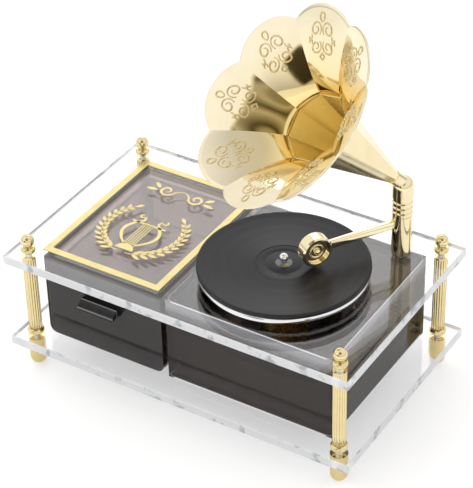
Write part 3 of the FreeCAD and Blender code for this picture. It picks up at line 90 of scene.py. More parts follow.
def wire(tree, shader, **sources):
    """Links sockets to the shader's inputs of the same names."""
    for socket, source in sources.items():
        tree.links.new(source, shader.inputs[socket.replace("_", " ")])


def node(tree, kind, inputs=None, **settings):
    """A new node with its settings, whose inputs are given values or links."""
    made = tree.nodes.new(kind)
    for key, value in settings.items():
        setattr(made, key, value)
    for key, value in (inputs or {}).items():
        if isinstance(value, bpy.types.NodeSocket):
            tree.links.new(value, made.inputs[key])
        else:
            made.inputs[key].default_value = value
    return made


def math_node(tree, operation, *values):
    """The result of a sum on numbers or sockets."""
    return node(tree, "ShaderNodeMath", dict(enumerate(values)), operation=operation).outputs[0]


def vector_node(tree, operation, first, second, output="Vector"):
    """The result of a sum on two vectors or sockets."""
    return node(tree, "ShaderNodeVectorMath", {0: first, 1: second}, operation=operation).outputs[output]


def axis_part(tree, vector, axis):
    return node(tree, "ShaderNodeSeparateXYZ", {"Vector": vector}).outputs[axis]


def place(tree, centre=None, stretch=None):
    """Coordinates on the piece in metres, from an optional centre, with an optional stretch."""
    out = node(tree, "ShaderNodeTexCoord").outputs["Object"]
    if centre is not None:
        shift = tuple(-c for c in centre)
        out = node(tree, "ShaderNodeMapping", {"Vector": out, "Location": shift}).outputs[0]
    if stretch is not None:
        out = node(tree, "ShaderNodeMapping", {"Vector": out, "Scale": stretch}).outputs[0]
    return out


def true_normal(tree):
    return node(tree, "ShaderNodeNewGeometry").outputs["True Normal"]


def facing(tree, axis, start, end):
    """How far the surface faces along an axis: 0 at the first cosine, 1 at the second."""
    share = math_node(tree, "ABSOLUTE", axis_part(tree, true_normal(tree), axis))
    return spread(tree, share, 0.0, 1.0, start, end)


def noise(tree, where, scale, detail=3.0):
    """Cloudy noise, with its scale per metre and its levels of detail."""
    return node(tree, "ShaderNodeTexNoise", {
        "Vector": where, "Scale": scale, "Detail": detail, "Roughness": 0.55,
    }).outputs["Fac"]


def spread(tree, value, low, high, start=0.0, end=1.0):
    """A value that runs from low to high while its source runs from start to end."""
    return node(tree, "ShaderNodeMapRange", {
        "Value": value, "From Min": start, "From Max": end, "To Min": low, "To Max": high,
    }).outputs["Result"]


def ramp(tree, value, stops):
    """A colour that follows a value through stops, each a position and a colour."""
    made = node(tree, "ShaderNodeValToRGB", {"Fac": value})
    band = made.color_ramp
    while len(band.elements) < len(stops):
        band.elements.new(0.5)
    for element, (position, colour) in zip(band.elements, stops):
        element.position = position
        element.color = (*colour, 1)
    return made.outputs["Color"]


def two_tone(tree, cloud, deep, pale):
    return ramp(tree, cloud, [(CLOUD_LOW, deep), (CLOUD_HIGH, pale)])


def blend(tree, factor, first, second):
    """A colour between two, each of them a socket or three numbers."""
    ends = [end if isinstance(end, bpy.types.NodeSocket) else (*end, 1) for end in (first, second)]
    return node(tree, "ShaderNodeMix", {
        "Factor": factor, "A": ends[0], "B": ends[1],
    }, data_type="RGBA").outputs["Result"]


def bump(tree, height, strength, distance):
    return node(tree, "ShaderNodeBump", {
        "Height": height, "Strength": strength, "Distance": distance,
    }).outputs["Normal"]


def ring_waves(tree, pitch, distortion=0.0):
    """Rings round the spindle, one for each pitch."""
    return node(tree, "ShaderNodeTexWave", {
        "Vector": place(tree, SPINDLE), "Scale": 2 * math.pi / (20 * pitch), "Distortion": distortion,
    }, wave_type="RINGS", rings_direction="Z").outputs["Fac"]


def mix_shaders(tree, factor, first, second, output):
    mix = node(tree, "ShaderNodeMixShader", {"Fac": factor})
    tree.links.new(first.outputs[0], mix.inputs[1])
    tree.links.new(second.outputs[0], mix.inputs[2])
    tree.links.new(mix.outputs[0], tree.nodes[output].inputs["Surface"])


def lamps_pass(tree, shader, tint):
    """Lets lamp light through clear plastic, tinted, so that what stands below isn't in full shade."""
    path = node(tree, "ShaderNodeLightPath")
    either = math_node(tree, "MAXIMUM", path.outputs["Is Shadow Ray"], path.outputs["Is Diffuse Ray"])
    clear = node(tree, "ShaderNodeBsdfTransparent", {"Color": (*tint, 1)})
    mix_shaders(tree, either, shader, clear, "Material Output")


# Materials.

ACRYLIC_IOR = 1.49
FLAT, END_ON = (0.8, 0.97), (0.5, 0.9)    # cosines from which a face counts as flat, or as an end wall
CLEAR_SHEET, CLEAR_SHADOW = (0.985, 0.988, 0.995), (0.93, 0.935, 0.945)
# The blue-grey patches on the sawn edges are painted reflection.
EDGE_REFLECTION_PATCH, EDGE_PALE, EDGE_CLEAR = (0.52, 0.55, 0.60), (0.92, 0.935, 0.96), 0.22
# The end-wall tint is painted shade: the box's end walls are tinted darker than its other walls.
SMOKE_SHEEN, END_WALL_SHADE = (1.0, 0.92, 0.88, 1), (0.05, 0.042, 0.038)
# The glow is painted light: a paler, less clear band along the top of the box's walls.
GLOW, GLOW_RISE, GLOW_CLOUDS = (0.30, 0.305, 0.33), (54 * MM, 59 * MM), 0.65
# The throat's tone is painted light and shade: a deeper gold in the bell's throat, a paler gold inside the
# neck.
THROAT_FADE = (66 * MM, 85 * MM)          # where along the horn the throat's tone starts to fade and ends
# Below the cap's foot the chrome is painted dark, a painted reflection.
CAP_FOOT, FOOT_BLUR, FOOT_PAINTED_DARK = CAP_LOW + 1.15 * MM, 0.15 * MM, (0.20, 0.20, 0.20)
# The handle's pale lines along its ridge and lip are painted highlights.
HANDLE_RIDGE, HANDLE_GLINT_WIDTH, HANDLE_GLINT = 3.2 * MM, 0.45 * MM, (0.20, 0.19, 0.185)


def horn_inside(tree, where):
    """1 on the horn's inner skin as far as its throat, 0 out on the petals and on the outside."""
    out = vector_node(tree, "SUBTRACT", where, HORN_ORIGIN)
    along = vector_node(tree, "DOT_PRODUCT", out, HORN_AXIS, "Value")
    on_axis = node(tree, "ShaderNodeVectorMath", {0: HORN_AXIS, "Scale": along}, operation="SCALE")
    spoke = vector_node(tree, "SUBTRACT", out, on_axis.outputs["Vector"])
    outward = vector_node(tree, "DOT_PRODUCT", true_normal(tree), spoke, "Value")
    inner = math_node(tree, "LESS_THAN", outward, 0.0)
    return math_node(tree, "MULTIPLY", inner, spread(tree, along, 1.0, 0.0, *THROAT_FADE))


def gilt(name, deep, pale, smooth=0.03, rough=0.08, throat=None, throat_haze=0.0):
    """Lacquered gilt metal: a warm tone that varies a little, with fine polishing lines.
    Where a tone for the throat is given, the horn's inner skin turns to it, a painted light and shade of the
    light that bounces inside the horn, and can be less polished."""
    made, tree, shader = material(name, Metallic=1.0)
    where = place(tree)
    cloud = noise(tree, where, 90, 4)
    tone = two_tone(tree, cloud, deep, pale)
    mottle = math_node(tree, "MULTIPLY", cloud, noise(tree, where, 420, 3))
    haze = spread(tree, mottle, smooth, rough, 0.1, 0.45)
    if throat:
        inside = horn_inside(tree, where)
        # Painted light and shade: the inner skin takes the throat's tone.
        tone = blend(tree, inside, tone, throat)
        haze = math_node(tree, "MULTIPLY_ADD", inside, throat_haze, haze)
    lines = noise(tree, where, 1400, 2)
    wire(tree, shader, Base_Color=tone, Roughness=haze, Normal=bump(tree, lines, 0.35, 4e-6))
    return made


def plain_metal(name, dark, light, smooth, rough, scale=900):
    """Bare machined or cast metal with an even grain."""
    made, tree, shader = material(name, Metallic=1.0)
    where = place(tree)
    grain = noise(tree, where, scale, 3)
    wire(tree, shader,
         Base_Color=two_tone(tree, noise(tree, where, 160, 3), dark, light),
         Roughness=spread(tree, grain, smooth, rough, CLOUD_LOW, CLOUD_HIGH),
         Normal=bump(tree, grain, 0.3, 6e-6))
    return made


def clear_acrylic():
    """Polished clear sheet, whose sawn edges are pale with sparse blue-grey patches of painted reflection."""
    made, tree, shader = material("clear_acrylic_look", IOR=ACRYLIC_IOR)
    where = place(tree)
    flat = facing(tree, "Z", *FLAT)
    # Painted reflection: sparse blue-grey patches on the sawn edges.
    painted_reflections = ramp(tree, noise(tree, where, 120, 4), [(0.36, EDGE_REFLECTION_PATCH), (0.45, EDGE_PALE)])
    wire(tree, shader,
         Base_Color=blend(tree, flat, painted_reflections, CLEAR_SHEET),
         Transmission_Weight=spread(tree, flat, EDGE_CLEAR, 1.0),
         Roughness=spread(tree, noise(tree, where, 35, 4), 0.0, 0.03, 0.35, 0.75),
         Normal=bump(tree, noise(tree, where, 60, 2), 0.05, 2e-5))
    lamps_pass(tree, shader, CLEAR_SHADOW)
    return made


def smoke_acrylic(name, tint, index, clear=1.0, lid=None):
    """Dark clear sheet. A lid lets more light through. With a lid, the walls below it get a painted glow, a
    paler and less clear band along their top, and the end walls get a painted shade, a darker tint.
    """
    made, tree, shader = material(
        name, Base_Color=(*tint, 1), IOR=index, Specular_Tint=SMOKE_SHEEN, Transmission_Weight=clear)
    where = place(tree)
    if lid:
        flat = facing(tree, "Z", *FLAT)
        rise = spread(tree, axis_part(tree, where, "Z"), 0.0, 1.0, *GLOW_RISE)
        glow = math_node(tree, "MULTIPLY", rise, math_node(tree, "SUBTRACT", 1.0, flat))
        # Painted light and shade: a darker tint on the end walls and a pale glow band along the top of the
        # walls.
        wall = blend(tree, glow, blend(tree, facing(tree, "X", *END_ON), tint, END_WALL_SHADE), GLOW)
        through = math_node(tree, "MULTIPLY_ADD", glow, -GLOW_CLOUDS, spread(tree, flat, clear, 1.0))
        wire(tree, shader, Base_Color=blend(tree, flat, wall, lid), Transmission_Weight=through)
    wire(tree, shader,
         Roughness=spread(tree, noise(tree, where, 45, 4), 0.01, 0.05, 0.35, 0.75),
         Normal=bump(tree, noise(tree, where, 50, 2), 0.05, 2e-5))
    lamps_pass(tree, shader, lid or tint)
    return made


def edge_glint():
    """A painted highlight: the pale glint along a box's sawn edge, with fine saw lines across it."""
    made, tree, shader = material("sawn_edge_look", IOR=ACRYLIC_IOR)
    lines = noise(tree, place(tree, stretch=(1, 1, 6)), 2500, 2)
    wire(tree, shader,
         Base_Color=two_tone(tree, lines, (0.93, 0.94, 0.97), (1.0, 1.0, 1.0)),
         Roughness=spread(tree, noise(tree, place(tree), 300), 0.2, 0.45),
         Normal=bump(tree, lines, 0.4, 2e-5))
    return made


def gilt_foil():
    """Stamped gilt foil: bright and even, slightly pebbled."""
    made, tree, shader = material("gilt_foil_look", Metallic=0.75)
    where = place(tree)
    pebble = noise(tree, where, 2600, 2)
    wire(tree, shader,
         Base_Color=two_tone(tree, noise(tree, where, 120, 3), (0.66, 0.55, 0.25), (0.76, 0.64, 0.31)),
         Roughness=spread(tree, pebble, 0.26, 0.42, CLOUD_LOW, CLOUD_HIGH),
         Normal=bump(tree, pebble, 0.25, 1e-5))
    return made


def record_black():
    """Pressed black plastic: fine grooves in bands of different shade, dusty in places."""
    made, tree, shader = material("record_black_look", IOR=1.37, Anisotropic=0.75)
    grooves, bands = ring_waves(tree, 0.4 * MM), ring_waves(tree, 6.4 * MM)
    shade = math_node(tree, "MULTIPLY", bands, noise(tree, place(tree), 220, 5))
    wire(tree, shader,
         Base_Color=ramp(tree, shade, [(0.1, (0.008, 0.008, 0.009)), (0.6, (0.017, 0.017, 0.019))]),
         Roughness=spread(tree, shade, 0.31, 0.38),
         Normal=bump(tree, grooves, 0.2, 8e-6),
         Tangent=node(tree, "ShaderNodeTangent", direction_type="RADIAL", axis="Z").outputs[0])
    return made


def turned_chrome(name, pitch, smooth, rough, tone=0.9, foot=None):
    """Bright plated metal with the faint rings of its turning, darkened below the height of a foot as a
    painted dark reflection.
    """
    made, tree, shader = material(name, Metallic=1.0)
    where = place(tree)
    cloud = noise(tree, where, 150, 3)
    plating = two_tone(tree, cloud, (tone - 0.04,) * 3, (tone + 0.04,) * 3)
    # Painted dark reflection below the foot.
    if foot:
        level = axis_part(tree, where, "Z")
        below = spread(tree, level, 1.0, 0.0, foot - FOOT_BLUR, foot + FOOT_BLUR)
        plating = blend(tree, below, plating, FOOT_PAINTED_DARK)
    wire(tree, shader,
         Base_Color=plating,
         Roughness=spread(tree, cloud, smooth, rough, CLOUD_LOW, CLOUD_HIGH),
         Normal=bump(tree, ring_waves(tree, pitch, 1.5), 0.12, 5e-6))
    return made


def handle_black():
    """Moulded black plastic with a soft gloss, with pale painted highlights along its ridge and its lip."""
    made, tree, shader = material("handle_black_look", IOR=1.33)
    where = place(tree)
    out = axis_part(tree, where, "Y")
    glint_lines = 0.0
    # Painted highlights: pale lines along the ridge and the lip.
    for edge in (handle_high.y - HANDLE_RIDGE, handle_low.y + HANDLE_GLINT_WIDTH):
        away = math_node(tree, "ABSOLUTE", math_node(tree, "SUBTRACT", out, edge))
        line = spread(tree, away, 1.0, 0.0, 0.2 * HANDLE_GLINT_WIDTH, HANDLE_GLINT_WIDTH)
        glint_lines = math_node(tree, "MAXIMUM", glint_lines, line)
    cloud = noise(tree, where, 240, 3)
    black = two_tone(tree, cloud, (0.008, 0.008, 0.008), (0.014, 0.013, 0.013))
    pebble = noise(tree, where, 1800, 2)
    wire(tree, shader,
         Base_Color=blend(tree, glint_lines, black, HANDLE_GLINT),
         Roughness=spread(tree, pebble, 0.12, 0.22, CLOUD_LOW, CLOUD_HIGH),
         Normal=bump(tree, pebble, 0.12, 1e-5))
    return made


POST_TONES = (0.83, 0.71, 0.44), (0.88, 0.76, 0.49)
GOLD = gilt("gilt_brass_look", (0.89, 0.775, 0.49), (0.93, 0.815, 0.54))
# The scrollwork's darker gold is painted shade, for the shadows beside its raised lines.
SCROLL_SHADED_GOLD = gilt("scroll_shaded_gilt_look", (0.66, 0.53, 0.28), (0.76, 0.62, 0.35), 0.05, 0.12)
POST_GOLD = gilt("post_gilt_look", *POST_TONES)
# The bell's champagne gold is painted light, a paler copy of the gilt for its washed-out highlights, and its
# deep throat tone is painted shade.
BELL_GOLD = gilt("bell_gilt_look", (0.89, 0.79, 0.56), (0.93, 0.83, 0.61), throat=(0.88, 0.67, 0.28))
# The neck's pale throat tone is painted light inside the horn's neck.
NECK_GOLD = gilt("neck_gilt_look", *POST_TONES, throat=(1.0, 0.87, 0.54), throat_haze=0.2)
COLUMN_GOLD = gilt("column_brass_look", (0.78, 0.65, 0.35), (0.85, 0.72, 0.41), rough=0.10)
# The feet's darker gold is painted shade, a darker copy of the column gold.
FOOT_SHADED_GOLD = gilt("foot_shaded_brass_look", (0.66, 0.52, 0.25), (0.74, 0.60, 0.31), rough=0.10)
FOIL = gilt_foil()
RECORD = record_black()
EDGE_GLINT_LOOK = edge_glint()
PALE_SMOKE = smoke_acrylic("pale_smoke_look", (0.50, 0.42, 0.385), 1.4)

# Looks by material slot, by family of nodes and for single nodes.
SLOT_LOOKS = {
    "clear_acrylic": clear_acrylic(),
    "smoke_acrylic": smoke_acrylic("smoke_acrylic_look", (0.16, 0.135, 0.125), ACRYLIC_IOR),
    "gilt_brass": GOLD,
    "gilt_print": FOIL,
    "platter_metal": turned_chrome("platter_metal_look", 0.4 * MM, 0.05, 0.14),
    "record_black": RECORD,
    "handle_black": handle_black(),
    "bright_chrome": turned_chrome("bright_chrome_look", 0.3 * MM, 0.03, 0.08),
    "cast_alloy": plain_metal("cast_alloy_look", (0.42, 0.42, 0.43), (0.55, 0.55, 0.55), 0.35, 0.55, 1500),
    "movement_brass": plain_metal("movement_brass_look", (0.72, 0.52, 0.22), (0.82, 0.62, 0.30), 0.2, 0.34),
    "steel": plain_metal("steel_look", (0.52, 0.52, 0.53), (0.66, 0.66, 0.66), 0.18, 0.32),
}
FAMILY_LOOKS = {"column_": COLUMN_GOLD, "finial_": COLUMN_GOLD, "foot_": FOOT_SHADED_GOLD}
OWN_LOOKS = {
    "drawer_case": PALE_SMOKE,
    "drawer_tray": PALE_SMOKE,
    "drawer_front": smoke_acrylic("drawer_front_look", (0.13, 0.124, 0.127), 1.42, 0.85),
    "movement_case": smoke_acrylic(
        "movement_case_look", (0.15, 0.136, 0.132), 1.33, 0.86, lid=(0.40, 0.36, 0.33)),
    "horn_neck": NECK_GOLD,
    "horn_elbow": POST_GOLD,
    "post_collar": POST_GOLD,
    "arm_sleeve": POST_GOLD,
    "tone_arm": POST_GOLD,
    "spindle_cap": turned_chrome("spindle_cap_look", 0.3 * MM, 0.03, 0.08, 0.82, CAP_FOOT),
}


def look_of(name, slot):
    if name in OWN_LOOKS:
        return OWN_LOOKS[name]
    for family, look in FAMILY_LOOKS.items():
        if name.startswith(family):
            return look
    return SLOT_LOOKS[slot]


for name, part in nodes.items():
    for held in part.material_slots:
        held.material = look_of(name, held.material.name.split(".")[0])

# What touches a plate stands a hair clear of it, so that light meets one surface at a time.
CLEARANCE = 0.04 * MM
TOUCHING = ("column_", "finial_", "foot_", "drawer_case", "movement_")
for name, part in nodes.items():
    if name.startswith(TOUCHING):
        shrink = part.modifiers.new("clear_of_plates", "DISPLACE")
        shrink.strength = -CLEARANCE
        shrink.mid_level = 0.0


# Mesh helpers.

def new_piece(name, mesh, look, body, stands_for=None):
    """A piece that rides on a body, and hides the CAD node that it stands for."""
    piece = bpy.data.objects.new(name, mesh)
    bpy.context.scene.collection.objects.link(piece)
    mesh.materials.append(look)
    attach(piece, body)
    if stands_for:
        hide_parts(stands_for)


def mesh_from(name, points, faces, smooth=True):
    mesh = bpy.data.meshes.new(name)
    mesh.from_pydata([tuple(p) for p in points], [], faces)
    work = bmesh.new()
    work.from_mesh(mesh)
    bmesh.ops.recalc_face_normals(work, faces=work.faces)
    work.to_mesh(mesh)
    work.free()
    for face in mesh.polygons:
        face.use_smooth = smooth
    mesh.update()
    return mesh


def joined(parts):
    """Several lists of points and faces as one."""
    points, faces = [], []
    for some_points, some_faces in parts:
        start = len(points)
        points += some_points
        faces += [tuple(i + start for i in face) for face in some_faces]
    return points, faces


def grid(rows, columns, start=0, closed=False):
    """The faces between rows of points. A closed grid joins up both ways, as a ring does."""
    faces = []
    for i in range(rows if closed else rows - 1):
        here, there = start + i * columns, start + (i + 1) % rows * columns
        for k in range(columns if closed else columns - 1):
            after = (k + 1) % columns
            faces.append((here + k, here + after, there + after, there + k))
    return faces


# The bell, with its eight petals drawn from the horn's own law. Lengths are in mm.

PETALS, SHEET = 8, 0.8
PETAL_STEP = 2 * math.pi / PETALS
THROAT_AT, THROAT_RADIUS, THROAT_EASE = 64.0, 17.5, 0.06
BELL_LENGTH, JOINT_RADIUS, STRAIGHT_SHARE = 21.4, 45.6, 0.55
PETAL_REACH, PETAL_HOLLOW = 8.4, 0.5
PETAL_ARCH, ARCH_SKEW, ARCH_PEAK = 0.9, 0.8, 1.3
ACROSS, ALONG, END_STEPS = 20, 34, 4
RIM = 0.992                                  # the share at which the rim starts to round over
CREASE_ANGLE, CREASE_NEAR = math.radians(9), 0.02


def horn_point(along, radius, angle):
    across = HORN_SIDE * (radius * math.cos(angle)) + HORN_UP * (radius * math.sin(angle))
    return HORN_ORIGIN + (HORN_AXIS * along + across) * MM


def arc_point(first, middle, last, share):
    """A point on the arc through three points, at a share of its length."""
    a, b = first - middle, last - middle
    normal = a.cross(b)
    centre = middle + (normal.cross(a) * b.length_squared + b.cross(normal) * a.length_squared) / (
        2 * normal.length_squared)
    spoke = first - centre
    axis = normal.normalized()
    sweep = 2 * math.pi - 2 * a.angle(b)
    there = centre + Matrix.Rotation(sweep * share, 3, axis) @ spoke
    back = centre + Matrix.Rotation(-sweep * share, 3, axis) @ spoke
    end_there = centre + Matrix.Rotation(sweep, 3, axis) @ spoke
    return there if (end_there - last).length < 1e-5 else back


def petal_point(petal, across, share, depth):
    """A point of the bell: the petal's number, 0 to 1 across it, 0 to 1 from throat to rim,
    and its depth into the sheet."""
    spread_out = JOINT_RADIUS - THROAT_RADIUS
    bend = 1 - STRAIGHT_SHARE
    rise = STRAIGHT_SHARE * share + bend * share ** 2
    slope = math.atan(spread_out / BELL_LENGTH * (STRAIGHT_SHARE + 2 * bend * share))
    ease = min(1.0, share / THROAT_EASE)
    forward = depth * math.sin(slope) * ease
    inward = depth * (math.cos(slope) * ease + 1 - ease)
    joint = THROAT_RADIUS + spread_out * rise
    reach = PETAL_REACH * rise
    arch = PETAL_ARCH * math.sin(math.pi * min(1.0, max(0.0, share) ** ARCH_SKEW)) ** ARCH_PEAK
    hollow = PETAL_HOLLOW * joint / JOINT_RADIUS - arch
    tip = joint * math.cos(math.pi / PETALS) + reach * math.sin(slope) + hollow * math.cos(slope) - inward
    advance = reach * math.cos(slope) - hollow * math.sin(slope) * rise
    along = THROAT_AT + BELL_LENGTH * share + forward
    joint -= inward
    first = horn_point(along, joint, PETAL_STEP * petal)
    middle = horn_point(along + advance, tip, PETAL_STEP * (petal + 0.5))
    last = horn_point(along, joint, PETAL_STEP * (petal + 1))
    return arc_point(first, middle, last, across)


def bell_sheet(rows):
    """A sheet over all petals, through rows that each have a share and a depth."""
    points, faces = [], []
    for petal in range(PETALS):
        faces += grid(len(rows), ACROSS + 1, len(points))
        for share, depth in rows:
            points += [petal_point(petal, j / ACROSS, share, depth) for j in range(ACROSS + 1)]
    return points, faces


def bell_end(share, bulge):
    """The rows that join both skins at one end, rounded outward by a bulge along the petal."""
    levels = [k / END_STEPS for k in range(END_STEPS + 1)]
    return [(share + bulge * math.sin(math.pi * level), SHEET * level) for level in levels]


def build_bell():
    shares = [RIM * i / ALONG for i in range(ALONG + 1)]
    sheets = [bell_sheet([(share, depth) for share in shares]) for depth in (0.0, SHEET)]
    sheets += [bell_sheet(bell_end(RIM, 1 - RIM)), bell_sheet(bell_end(0.0, 0.0))]
    points, faces = joined(sheets)
    mesh = bpy.data.meshes.new("horn_bell_petals")
    mesh.from_pydata([tuple(p) for p in points], [], faces)
    work = bmesh.new()
    work.from_mesh(mesh)
    bmesh.ops.remove_doubles(work, verts=work.verts, dist=2e-6)
    bmesh.ops.recalc_face_normals(work, faces=work.faces)
    for face in work.faces:
        face.smooth = True
    for edge in work.edges:
        if len(edge.link_faces) == 2 and edge.calc_face_angle() > CREASE_ANGLE:
            middle = (edge.verts[0].co + edge.verts[1].co) / 2 - HORN_ORIGIN
            spin = math.atan2(middle.dot(HORN_UP), middle.dot(HORN_SIDE)) / PETAL_STEP
            if abs(spin - round(spin)) < CREASE_NEAR:
                edge.smooth = False
    work.to_mesh(mesh)
    work.free()
    new_piece("horn_bell_petals", mesh, BELL_GOLD, "stand", "horn_bell")


build_bell()


# The embossed scrolls on both faces of every petal. Lengths are in mm.

ORNAMENT_AT, ORNAMENT_SIZE, NUDGE = 0.70, 1.28, 0.01
RIDGE_HALF, RIDGE_HIGH, RIDGE_SINK, RIDGE_POINTS = 0.52, 0.46, 0.06, 6


def on_petal(petal, a, b, depth):
    """The point and outward normal at a mm across and b mm along from the middle of an ornament."""
    here = petal_point(petal, 0.5, ORNAMENT_AT, depth)
    ahead = petal_point(petal, 0.5, ORNAMENT_AT + NUDGE, depth)
    share = ORNAMENT_AT + NUDGE * b * MM / (ahead - here).length
    left = petal_point(petal, 0.5 - NUDGE, share, depth)
    right = petal_point(petal, 0.5 + NUDGE, share, depth)
    across = 0.5 + 2 * NUDGE * a * MM / (right - left).length
    point = petal_point(petal, across, share, depth)
    side = petal_point(petal, across + NUDGE, share, depth) - petal_point(petal, across - NUDGE, share, depth)
    out = petal_point(petal, across, share + NUDGE, depth) - petal_point(petal, across, share - NUDGE, depth)
    normal = side.cross(out).normalized()
    to_axis = HORN_ORIGIN + HORN_AXIS * (point - HORN_ORIGIN).dot(HORN_AXIS) - point
    if normal.dot(to_axis) < 0:
        normal = -normal
    return point, normal if depth > 0 else -normal


def ridge(path):
    """A raised half-round line along a path of points and normals, thin at both ends."""
    points = []
    count = len(path)
    for i, (point, normal) in enumerate(path):
        before = path[max(i - 1, 0)][0]
        after = path[min(i + 1, count - 1)][0]
        side = normal.cross((after - before).normalized())
        thin = 0.35 + 0.65 * math.sin(math.pi * (0.12 + 0.76 * i / (count - 1)))
        for k in range(RIDGE_POINTS):
            turn = math.pi * k / (RIDGE_POINTS - 1)
            points.append(
                point + side * (RIDGE_HALF * thin * math.cos(turn) * MM)
                + normal * ((RIDGE_HIGH * thin * math.sin(turn) - RIDGE_SINK) * MM))
    faces = grid(count, RIDGE_POINTS)
    faces.append(tuple(range(RIDGE_POINTS)))
    faces.append(tuple(reversed(range((count - 1) * RIDGE_POINTS, count * RIDGE_POINTS))))
    return points, faces


def scroll(centre, start, turns, small, large, hand, count=30):
    """A spiral from its small inner end to its large outer end."""
    out = []
    for i in range(count + 1):
        share = i / count
        angle = start + hand * 2 * math.pi * turns * (share - 1)
        radius = small + (large - small) * share ** 0.85
        out.append((centre[0] + radius * math.cos(angle), centre[1] + radius * math.sin(angle)))
    return out


def ornament_lines():
    """A quatrefoil of scrolls with side curls, a lozenge and a bud, on a flat petal."""
    lines = []
    for x in (-1, 1):
        for y in (-1, 1):
            lines.append(scroll((3.0 * x, 3.1 * y), math.atan2(-y, -x), 1.35, 0.7, 2.75, x * y))
            lines.append(scroll((6.0 * x, 0.9 * y), math.atan2(y, -x), 0.7, 0.4, 1.1, -x * y, 12))
    corners = [(0, -8.2), (1.2, -6.9), (0, -5.6), (-1.2, -6.9), (0, -8.2), (1.2, -6.9)]
    lozenge = []
    for (x0, y0), (x1, y1) in zip(corners, corners[1:]):
        lozenge += [(x0 + (x1 - x0) * k / 4, y0 + (y1 - y0) * k / 4) for k in range(4)]
    bud = []
    for k in range(20):
        turn = 2 * math.pi * k / 18
        bud.append((1.1 * math.sin(turn) * (1 - 0.25 * math.cos(turn)), 6.9 - 1.5 * math.cos(turn)))
    lines += [lozenge, bud]
    return [[(ORNAMENT_SIZE * x, ORNAMENT_SIZE * y) for x, y in line] for line in lines]


def build_ornament():
    parts = []
    lines = ornament_lines()
    for petal in range(PETALS):
        for depth in (SHEET, 0.0):
            parts += [ridge([on_petal(petal, a, b, depth) for a, b in line]) for line in lines]
    mesh = mesh_from("horn_scrollwork", *joined(parts))
    new_piece("horn_scrollwork", mesh, SCROLL_SHADED_GOLD, "stand")


build_ornament()


# The record, turned with a raised rim, a track gap and a sunk label. Lengths are in mm.

HOLE_RADIUS, SEAT_RADIUS, TURNED_STEPS = 2.1, 38.2, 160
RECORD_CREASE = math.radians(25)


def build_record():
    top, bottom = record_high.z / MM, record_low.z / MM
    outer = (record_high.x - record_low.x) / 2 / MM
    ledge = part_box("turntable_platter")[1].z / MM
    field, gap, label, ring = top - 0.06, top - 0.02, top - 0.26, top - 0.34
    outline = [(HOLE_RADIUS, bottom), (SEAT_RADIUS, bottom), (SEAT_RADIUS, ledge)]
    outline += [(outer - 0.6, ledge), (outer - 0.17, ledge + 0.18), (outer, ledge + 0.6)]
    outline += [(outer, top - 0.6), (outer - 0.17, top - 0.18), (outer - 0.6, top), (outer - 1.3, top)]
    outline += [(outer - 1.55, field), (24.0, field), (14.4, field), (14.1, gap), (13.4, gap)]
    outline += [(13.1, label), (9.4, label), (9.2, ring), (8.8, ring), (8.6, label), (HOLE_RADIUS, label)]
    points = []
    for k in range(TURNED_STEPS):
        turn = 2 * math.pi * k / TURNED_STEPS
        for radius, level in outline:
            x, y = SPINDLE.x + radius * MM * math.cos(turn), SPINDLE.y + radius * MM * math.sin(turn)
            points.append(Vector((x, y, level * MM)))
    mesh = mesh_from("record_pressed", points, grid(TURNED_STEPS, len(outline), closed=True))
    mesh.set_sharp_from_angle(angle=RECORD_CREASE)
    new_piece("record_pressed", mesh, RECORD, "turntable", "record_disc")


build_record()


# The tone arm, with rounded edges.

ARM_ROUND, ARM_EDGE, ARM_CREASE = 0.45 * MM, math.radians(30), math.radians(40)


def build_tone_arm():
    work = bmesh.new()
    work.from_mesh(nodes["tone_arm"].data)
    bmesh.ops.remove_doubles(work, verts=work.verts, dist=1e-6)
    bmesh.ops.dissolve_limit(work, angle_limit=math.radians(1), verts=work.verts, edges=work.edges)
    sharp = [e for e in work.edges if len(e.link_faces) == 2 and e.calc_face_angle() > ARM_EDGE]
    bmesh.ops.bevel(work, geom=sharp, offset=ARM_ROUND, segments=3, profile=0.5, affect="EDGES")
    for face in work.faces:
        face.smooth = True
    mesh = bpy.data.meshes.new("tone_arm_bar")
    work.to_mesh(mesh)
    work.free()
    mesh.materials.clear()
    mesh.set_sharp_from_angle(angle=ARM_CREASE)
    new_piece("tone_arm_bar", mesh, GOLD, "arm", "tone_arm")


build_tone_arm()


# Painted highlights: thin bright lines along the right box's top and bottom edges.

CASE_CORNER, LINE_INSET, LINE_DOWN, LINE_HALF = 4.0 * MM, 0.16 * MM, 0.45 * MM, 0.35 * MM
CORNER_STEPS, LINE_SIDES = 6, 6


def glint_line(name, level):
    """A thin round pale line along the box's outline at one level: a painted highlight."""
    left, right = case_low.x + CASE_CORNER, case_high.x - CASE_CORNER
    front, rear = case_low.y + CASE_CORNER, case_high.y - CASE_CORNER
    reach = CASE_CORNER - LINE_INSET
    path = []
    for x, y, start in ((left, front, 180), (right, front, 270), (right, rear, 0), (left, rear, 90)):
        for k in range(CORNER_STEPS + 1):
            turn = math.radians(start + 90 * k / CORNER_STEPS)
            path.append(Vector((x + reach * math.cos(turn), y + reach * math.sin(turn), level)))
    count = len(path)
    points = []
    for i, point in enumerate(path):
        side = (path[(i + 1) % count] - path[i - 1]).normalized().cross(UP)
        for k in range(LINE_SIDES):
            turn = 2 * math.pi * k / LINE_SIDES
            points.append(point + (side * math.cos(turn) + UP * math.sin(turn)) * LINE_HALF)
    mesh = mesh_from(name, points, grid(count, LINE_SIDES, closed=True))
    new_piece(name, mesh, EDGE_GLINT_LOOK, "stand")


glint_line("case_top_glint", case_high.z - LINE_DOWN)
glint_line("case_bottom_glint", case_low.z + LINE_DOWN)


# The gilt motif on the plate: a lyre between two laurel sprays, with a small scroll flourish behind it.
# Lengths are in mm, and hand is -1 for the left half and 1 for the right.

